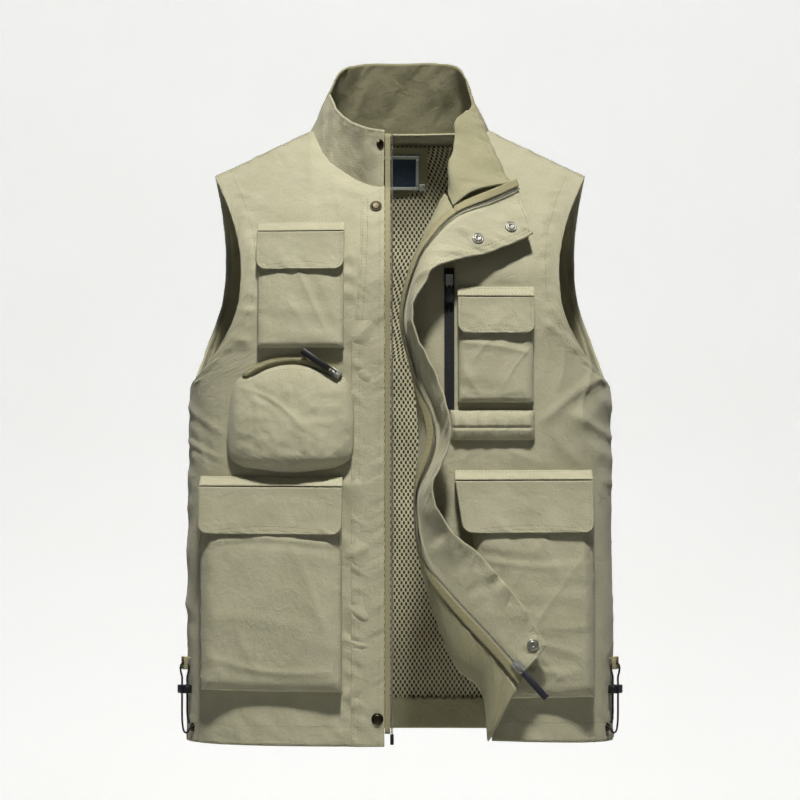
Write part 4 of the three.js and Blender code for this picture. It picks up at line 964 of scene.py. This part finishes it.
def bagPiece(name, pocket, nodes, owner, bulge, seed):
    face = flatFace(pocket)
    top = 1 - 12 / (pocket["z"][1] - pocket["z"][0])
    inU, inV = shares(64), shares(84)
    us = np.concatenate([wallSteps * 0 - 1 + wallSteps, inU, 2 - wallSteps[::-1]])
    vs = np.concatenate([wallSteps - 1, inV])
    u, v = np.meshgrid(us, vs)
    fu, fv = np.where(u < 0, u + 1, np.where(u > 1, 2 - u, 1)), np.where(v < 0, v + 1, 1)
    cu, cv = np.clip(u, 0, 1), np.clip(v, 0, 1)
    p = face(cu, cv * top)
    floor = pocketFloor(p[..., 0], p[..., 2])
    fromSide = np.minimum(cu, 1 - cu)
    share = lerp(0.62, 1, riseTo(fromSide, 0.1) * riseTo(cv, 0.06)) * fu * fv
    wide, tall = pocket["x"][1] - pocket["x"][0], pocket["z"][1] - pocket["z"][0]
    across, along = (cu - 0.5) * wide, cv * tall
    free = np.clip(fromSide / 0.12, 0, 1) * np.clip(cv / 0.1, 0, 1) * np.clip((1 - cv) / 0.08, 0.2, 1)
    puff = bulge * np.sin(math.pi * cu) ** 0.6 * np.sin(math.pi * (0.12 + 0.86 * cv) ** 1.2) ** 0.7
    crease = (1.8 * folds(across, along, 84, 26, 190, seed) ** 2
              + 1.5 * folds(across, along, 24, 34, 120, seed + 1) ** 2
              + 1.1 * folds(across, along, -38, 24, 90, seed + 2) ** 3)
    pull = 0.5 * np.exp(-(fromSide * wide / 9) ** 2) * noise(along / 7, cu * 0, seed + 4)
    y = lerp(floor, p[..., 1], share) - free * (puff + crease - 1.6) * fu * fv - pull * fu
    gusset = 2.2 * np.sin(math.pi * fu) * (fu < 1)
    x = p[..., 0] + np.where(u < 0, gusset - 0.6 * (1 - fu), np.where(u > 1, -gusset + 0.6 * (1 - fu), 0))
    z = p[..., 2] - 0.6 * (1 - fv) + 1.5 * np.sin(math.pi * fv) * (fv < 1)
    outer = np.stack([x, y, z], -1)
    n = normalsOf(outer, (0, -1, 0))
    inner = outer - n * 0.9
    k = len(wallSteps)
    facePart, faceUp = outer[k:, k:-k], n[k:, k:-k]
    sewn = [seamPath(facePart, faceUp, side, 3, 0.02, 0.98) for side in ("left", "right", "bottom")]
    piece = gridPiece(name, outer, inner, shellTwill, sewn, uvShift=(seed * 37, seed * 11))
    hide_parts(*nodes)
    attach(piece, owner)


def flapAndBand(name, pocket, side, seed):
    face = flatFace(pocket)
    x, z = pocket["x"], pocket["z"]
    left, right = [(e - x[0]) / (x[1] - x[0]) for e in pocket["flap"]]
    corner, drop = 10.0, pocket["drop"]

    def surface(u, v):
        d = v * drop
        arc = corner - np.sqrt(np.maximum(corner ** 2 - (corner - d) ** 2, 0))
        inside = np.where(d < corner, arc, 0) / (x[1] - x[0])
        return face(lerp(left + inside, right - inside, u), 1 - drop / (z[1] - z[0]) * (1 - v))

    def flapLift(p, u, v, lengths):
        low = (1 - v) ** 2
        edge = np.minimum(lengths["left"], lengths["right"])
        free = np.clip((1 - v) * 4 - 0.3, 0, 1)
        return (low * (3.6 + 1.6 * noise(u * 5, v * 2, seed)) + 0.8 * np.sin(math.pi * u) * (1 - v)
                + 0.35 * noise(u * 11, v * 5, seed + 3) * np.clip(edge / 12, 0, 1)) * free

    v = np.concatenate([np.linspace(0, 0.3, 22) ** 1.3 / 0.3 ** 0.3, np.linspace(0.3, 1, 26)[1:]])
    cloth(name + "Flap", surface, shares(72), v, cloths["air"], cloths["air"] + shell, shellTwill,
          wrinkle=flapLift, nodes=[side + "_flap"], ride=side + "_flap", slot="shell", held="hung",
          pucker=0.2, seams=[("bottom", 4), ("left", 4, 0.12, 1), ("right", 4, 0.12, 1),
                             ("bottom", 8.5, 0.08, 0.92)], uvShift=(seed * 13, 0))

    def bandAt(out):
        def at(u, v):
            p = face(lerp(left, right, u), np.ones_like(v))
            zz = z[1] + band["above"] + band["height"] * v
            floor = pocketFloor(p[..., 0], zz)
            y = lerp(p[..., 1] - band["gap"] - band["flap"], floor - cloths["facing"], v) if out else floor
            return np.stack([p[..., 0], y, zz], -1)
        return at
    u, w = np.meshgrid(shares(60), shares(12))
    outer, inner = bandAt(True)(u, w), bandAt(False)(u, w)
    n = normalsOf(outer, (0, -1, 0))
    bump = 0.3 * noise(u * 14, w * 2, seed + 6) * np.sin(math.pi * w) * (w > 0.3)
    outer = outer + n * bump[..., None]
    piece = gridPiece(name + "Band", outer, inner, shellTwill,
                      [seamPath(outer, n, "top", 2.2), seamPath(outer, n, "bottom", 2.2)])
    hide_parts(side + "_band")
    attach(piece, side.split("_")[0] + "_front")


pockets = {"rightChest": {"x": (-156, -62), "z": (-245, -118), "stand": ((14, 14), (18, 13)),
                          "flap": (-157, -61), "drop": 41.5, "bulge": 3.5, "fill": 0.4},
           "rightCargo": {"x": (-220, -64), "z": (-621.5, -398), "stand": ((32, 20), (30, 16)),
                          "flap": (-221, -63), "drop": 51, "bulge": 6, "fill": 0.6},
           "leftChest": {"x": (64, 146), "z": (-305, -190), "stand": ((12, 12), (9, 9)), "flap": (63, 147),
                         "drop": 39, "bulge": 3, "fill": 0.4},
           "leftCargo": {"x": (71, 214), "bottomX": (104, 214), "z": (-629, -391),
                         "stand": ((14, 30), (12, 30)), "flap": (60, 212), "drop": 56.5, "bulge": 5,
                         "fill": 0.6},}
for i, (name, pocket) in enumerate(pockets.items()):
    side = name.replace("Chest", "_chest").replace("Cargo", "_cargo")
    owner = side.split("_")[0] + "_front"
    bagPiece(name + "Pocket", pocket, [side + "_pocket"], owner, pocket["bulge"], 110 + i * 7)
    flapAndBand(name, pocket, side, 150 + i * 5)

roll = {"x": (55, 148), "z": (-346.5, -313.5), "stand": 8.5, "rim": 1.6}
u, v = np.meshgrid(shares(90), shares(34))
x, z = lerp(*roll["x"], u), lerp(*roll["z"], v)
floor = pocketFloor(x, z)
bulge = np.sqrt(np.maximum(0, 1 - (2 * v - 1) ** 2)) * riseTo(np.minimum(u, 1 - u), 0.08)
tucked = 1.1 * noise(u * 13, v * 1.2, 171) + 0.7 * noise(u * 27, v * 2, 172)
outer = np.stack([x, floor - roll["rim"] - roll["stand"] * bulge - tucked * bulge
                  + 1.8 * np.exp(-((v - 0.42) / 0.05) ** 2) * bulge, z], -1)
n = normalsOf(outer, (0, -1, 0))
piece = gridPiece("leftRollPocket", outer, np.stack([x, floor, z], -1), shellTwill,
                  [seamPath(outer, n, side, d) for side, d in (("bottom", 5), ("top", 4), ("right", 3))])
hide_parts("left_roll_pocket")
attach(piece, "left_front")

# ---- pouch with an arched zip
arch = {"x": -118, "z": -345, "radius": 86.7, "seam": 81.2, "half": 38, "lift": 2.4}
span = arch["radius"] * math.sin(math.radians(arch["half"]))
ends = [frontAt(arch["x"] + e * span, arch["z"]) for e in (-1, 1)]
tilt = math.atan2(ends[0] - ends[1], 2 * span)
archY = frontAt(arch["x"], arch["z"] + arch["radius"]) - overlay - arch["lift"]
archAcross = np.array([math.cos(tilt), -math.sin(tilt), 0])
archOut = np.array([-math.sin(tilt), -math.cos(tilt), 0])


def archPoint(angle, radius, off=0.0):
    angle, radius = np.asarray(angle, float), np.asarray(radius, float)
    return (np.array([arch["x"], archY, arch["z"]]) + (radius * np.sin(angle))[..., None] * archAcross
            + (radius * np.cos(angle))[..., None] * np.array([0, 0, 1.0]) + off * archOut)


halfAngle = math.radians(arch["half"])
crown = [tuple(archPoint(a * halfAngle, arch["seam"])) for a in (-0.8, -0.5, -0.17, 0.17, 0.5, 0.8)]
topSpots = [(-186, 0, -300), (-181, 0, -284)] + crown + [(-57, 0, -284), (-51, 0, -300)]
pouchTop = smoothCurve(topSpots)
pouchPlan = patch(smoothCurve([(-171, 0, -377), (-187, 0, -366), (-190, 0, -335), topSpots[0]]),
                  smoothCurve([(-71, 0, -377), (-54, 0, -366), (-50, 0, -335), topSpots[-1]]),
                  smoothCurve([(-171, 0, -377), (-121, 0, -382), (-71, 0, -377)]), pouchTop)
pouchSeams = [("bottom", 3), ("left", 3), ("right", 3), ("top", 3), ("top", 8)]
pouch = {"rim": 1.8, "stand": 25, "crest": 0.3}
u, v = np.meshgrid(shares(110), shares(110))
p = pouchPlan(u, v)
up = np.sin(math.pi * np.clip(np.where(v < pouch["crest"], v / pouch["crest"] / 2,
                                       0.5 + (v - pouch["crest"]) / (1 - pouch["crest"]) / 2), 0, 1))
dome = np.maximum(np.sin(math.pi * u), 0) ** 0.45 * np.maximum(up, 0) ** 0.5
x, z = p[..., 0], p[..., 2]
ripple = (1.9 * folds(x, z, 66, 34, 60, 181) ** 2 + 1.5 * folds(x, z, -15, 28, 50, 183) ** 2
          + 0.8 * noise(x / 9, z / 9, 185) - 1.6)
stand = pouch["rim"] + pouch["stand"] * dome
outer = np.stack([x, pocketFloor(x, z) - stand - ripple * np.clip(dome * 1.4, 0, 1), z], -1)
n = normalsOf(outer, (0, -1, 0))
inner = outer + np.array([0, 1.1, 0])
piece = gridPiece("rightPouch", outer, inner, shellTwill,
                  [seamPath(outer, n, side, d) for side, d in pouchSeams])
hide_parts("right_pouch_pocket")
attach(piece, "right_front")
print("pockets made")

# ---- pocket zips: real coils on the ridges
angles = np.linspace(-halfAngle + 0.02, halfAngle - 0.02, 120)
chestZip = {"x": 54.0, "bottom": -310, "top": -160.5, "seat": (48.5, -312.5), "tape": 1.4, "rise": 0.8}
chestY = frontAt(*chestZip["seat"]) - overlay - chestZip["tape"] - chestZip["rise"]
chestPath = np.stack([np.full(120, chestZip["x"]), np.full(120, chestY),
                      np.linspace(chestZip["bottom"], chestZip["top"], 120)], -1)
archPath = archPoint(angles, np.full(120, arch["radius"]), 0.75)
for name, path, normal, owner, material, slot in (
        ("rightPouchCoil", archPath, archOut, "right_front", coilNylon, "zip_metal"),
        ("leftChestCoil", chestPath, [0, -1.0, 0], "left_front", darkCoil, "black_tape")):
    piece = coilPiece(name, path, np.tile(normal, (120, 1)), radius=1.75, wire=0.42, pitch=1.7, squashed=0.6,
                      material=material)
    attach(piece, owner)

# ---- the hard pieces keep their solids, with edges softened and real finishes
finishes = {"right_zip_pin": blackAcetal, "right_pouch_zip_tape": khakiTape,
            "left_chest_zip_tape": blackTape, "main_slider": zipMetal, "right_pouch_zip_slider": zipMetal,
            "left_chest_zip_slider": zipMetal, "right_pouch_zip_puller": blackAcetal,
            "left_chest_zip_puller": blackAcetal, "main_puller": rubberPull, "right_snap_chest": bronzeCap,
            "right_snap_hem": bronzeCap, "right_snap_collar": bronzeCap, "right_eyelet": bronzeCap,
            "left_eyelet": bronzeCap, "left_snap_collar": snapSteel, "left_snap_chest": snapSteel,
            "left_snap_hem": snapSteel, "right_cord_lock": blackAcetal, "left_cord_lock": blackAcetal,
            "right_lock_button": blackAcetal, "left_lock_button": blackAcetal, "right_side_tab": khakiTape,
            "left_side_tab": khakiTape,}
for name, material in finishes.items():
    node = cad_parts[name]
    node.data.materials.clear()
    node.data.materials.append(material)
    weld = node.modifiers.new("weld", "WELD")
    weld.merge_threshold = 1e-5
    bevel = node.modifiers.new("edges", "BEVEL")
    bevel.width = 0.0004 if "snap" not in name and "eyelet" not in name else 0.0002
    bevel.segments = 2
    bevel.limit_method = "ANGLE"
    bevel.angle_limit = math.radians(35)
    node.data.polygons.foreach_set("use_smooth", [True] * len(node.data.polygons))
for name in ("main_puller", "left_chest_zip_puller"):  # the arms and pin are metal, the tongue is moulded
    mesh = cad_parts[name].data
    mesh.materials.append(zipMetal)
    low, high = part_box(name)
    pinEnd = Vector((low.x, 0, high.z)) if name == "main_puller" else Vector((0, 0, high.z))
    for polygon in mesh.polygons:
        gap = polygon.center - pinEnd
        gap = Vector((gap.x, 0, gap.z)).length if name == "main_puller" else abs(gap.z)
        polygon.material_index = 1 if gap < 0.0105 else 0

# each snap is set in a pressed ring
ring = {"radius": 5.6, "wire": 1.0}
for name in ("right_snap_chest", "right_snap_hem", "left_snap_chest", "left_snap_hem", "left_snap_collar"):
    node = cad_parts[name]
    spots = np.array([node.matrix_world @ vertex.co for vertex in node.data.vertices])
    middle = spots.mean(0)
    axis = np.linalg.svd(spots - middle, full_matrices=False)[2][2]
    axis = axis if axis[1] < 0 else -axis
    seatAt = ((spots - middle) @ axis).min()
    bpy.ops.object.select_all(action="DESELECT")
    bpy.ops.mesh.primitive_torus_add(major_segments=32, minor_segments=10, major_radius=ring["radius"] * mm,
                                     minor_radius=ring["wire"] * mm,
                                     location=middle + axis * (seatAt + ring["wire"] * mm * 0.4),
                                     rotation=Vector(axis).to_track_quat("Z", "Y").to_euler())
    piece = bpy.context.object
    bpy.ops.object.transform_apply(location=True, rotation=True, scale=True)
    bpy.ops.object.shade_smooth()
    piece.name = name.replace("_", "") + "Ring"
    piece.data.materials.append(bronzeCap if name.startswith("right") else snapSteel)
    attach(piece, name.split("_")[0] + "_front")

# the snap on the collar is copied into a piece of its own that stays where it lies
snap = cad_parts["right_snap_collar"]
bentSnap = placed("rightCollarSnap", snap.data.copy())
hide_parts("right_snap_collar")
hang(bentSnap, "right_front+")
print("hard pieces finished")

# ---- light: high and a little in front, with a soft fill
def light(name, kind, place, target, size, power, colour=(1, 1, 1), spread=180):
    data = bpy.data.lights.new(name, kind)
    data.energy = power
    data.color = colour
    data.size = size
    data.spread = math.radians(spread)
    lamp = placed(name, data)
    lamp.location = place
    lamp.rotation_euler = (Vector(target) - Vector(place)).to_track_quat("-Z", "Y").to_euler()


light("key", "AREA", (0.12, -2.3, 3.8), (0, -0.1, -0.35), 0.45, 31, (1, 0.985, 0.965), 60)
light("fill", "AREA", (-0.6, -3.4, 0.1), (0, 0, -0.35), 2.6, 4, (0.97, 0.985, 1))
light("back", "AREA", (0.2, 2.6, 1.6), (0, 0, -0.3), 1.6, 6)
light("wall", "AREA", (0, 1.0, 3.2), (0, 4.0, 0.2), 3.0, 24, (1, 1, 1), 120)


# The room looks pale all round but lends the vest only a little light, so its drop shadows stay deep.
def seenOrLent(tree, seen, lent):
    looking = addNode(tree, "ShaderNodeLightPath").outputs["Is Camera Ray"]
    return addNode(tree, "ShaderNodeMapRange", {"Value": looking, "To Min": lent, "To Max": seen}).outputs[0]


world = bpy.data.worlds.new("studio")
world.use_nodes = True
room = world.node_tree.nodes["Background"]
room.inputs[0].default_value = linear("#f4f4f2")
world.node_tree.links.new(seenOrLent(world.node_tree, 0.8, 0.05), room.inputs[1])
scene.world = world

studio = {"floorZ": -1.5, "wallY": 4.0, "half": 9.0, "sweep": 1.2}
profile = [(-studio["half"], studio["floorZ"])]
for k in range(13):
    a = math.radians(k / 12 * 90)
    profile.append((studio["wallY"] - studio["sweep"] + studio["sweep"] * math.sin(a),
                    studio["floorZ"] + studio["sweep"] * (1 - math.cos(a))))
profile.append((studio["wallY"], 7.0))
points = [(x, y, z) for y, z in profile for x in (-studio["half"], studio["half"])]
mesh = bpy.data.meshes.new("backdrop")
mesh.from_pydata(points, [], [(2 * i, 2 * i + 1, 2 * i + 3, 2 * i + 2) for i in range(len(profile) - 1)])
mesh.polygons.foreach_set("use_smooth", [True] * len(mesh.polygons))
paper, tree, surface = newMaterial("backdrop paper", 0.95)
grainNoise = addNode(tree, "ShaderNodeTexNoise", {"Scale": 40.0, "Detail": 2.0})
tree.links.new(ramp(tree, grainNoise.outputs[0], 0.3, 0.7, linear("#f2f2f0"), linear("#f7f7f6")),
               surface.inputs["Base Color"])
surface.inputs["Emission Color"].default_value = linear("#f4f4f2")
tree.links.new(seenOrLent(tree, 0.62, 0.0), surface.inputs["Emission Strength"])
mesh.materials.append(paper)
backdrop = placed("backdrop", mesh)
print("studio set")
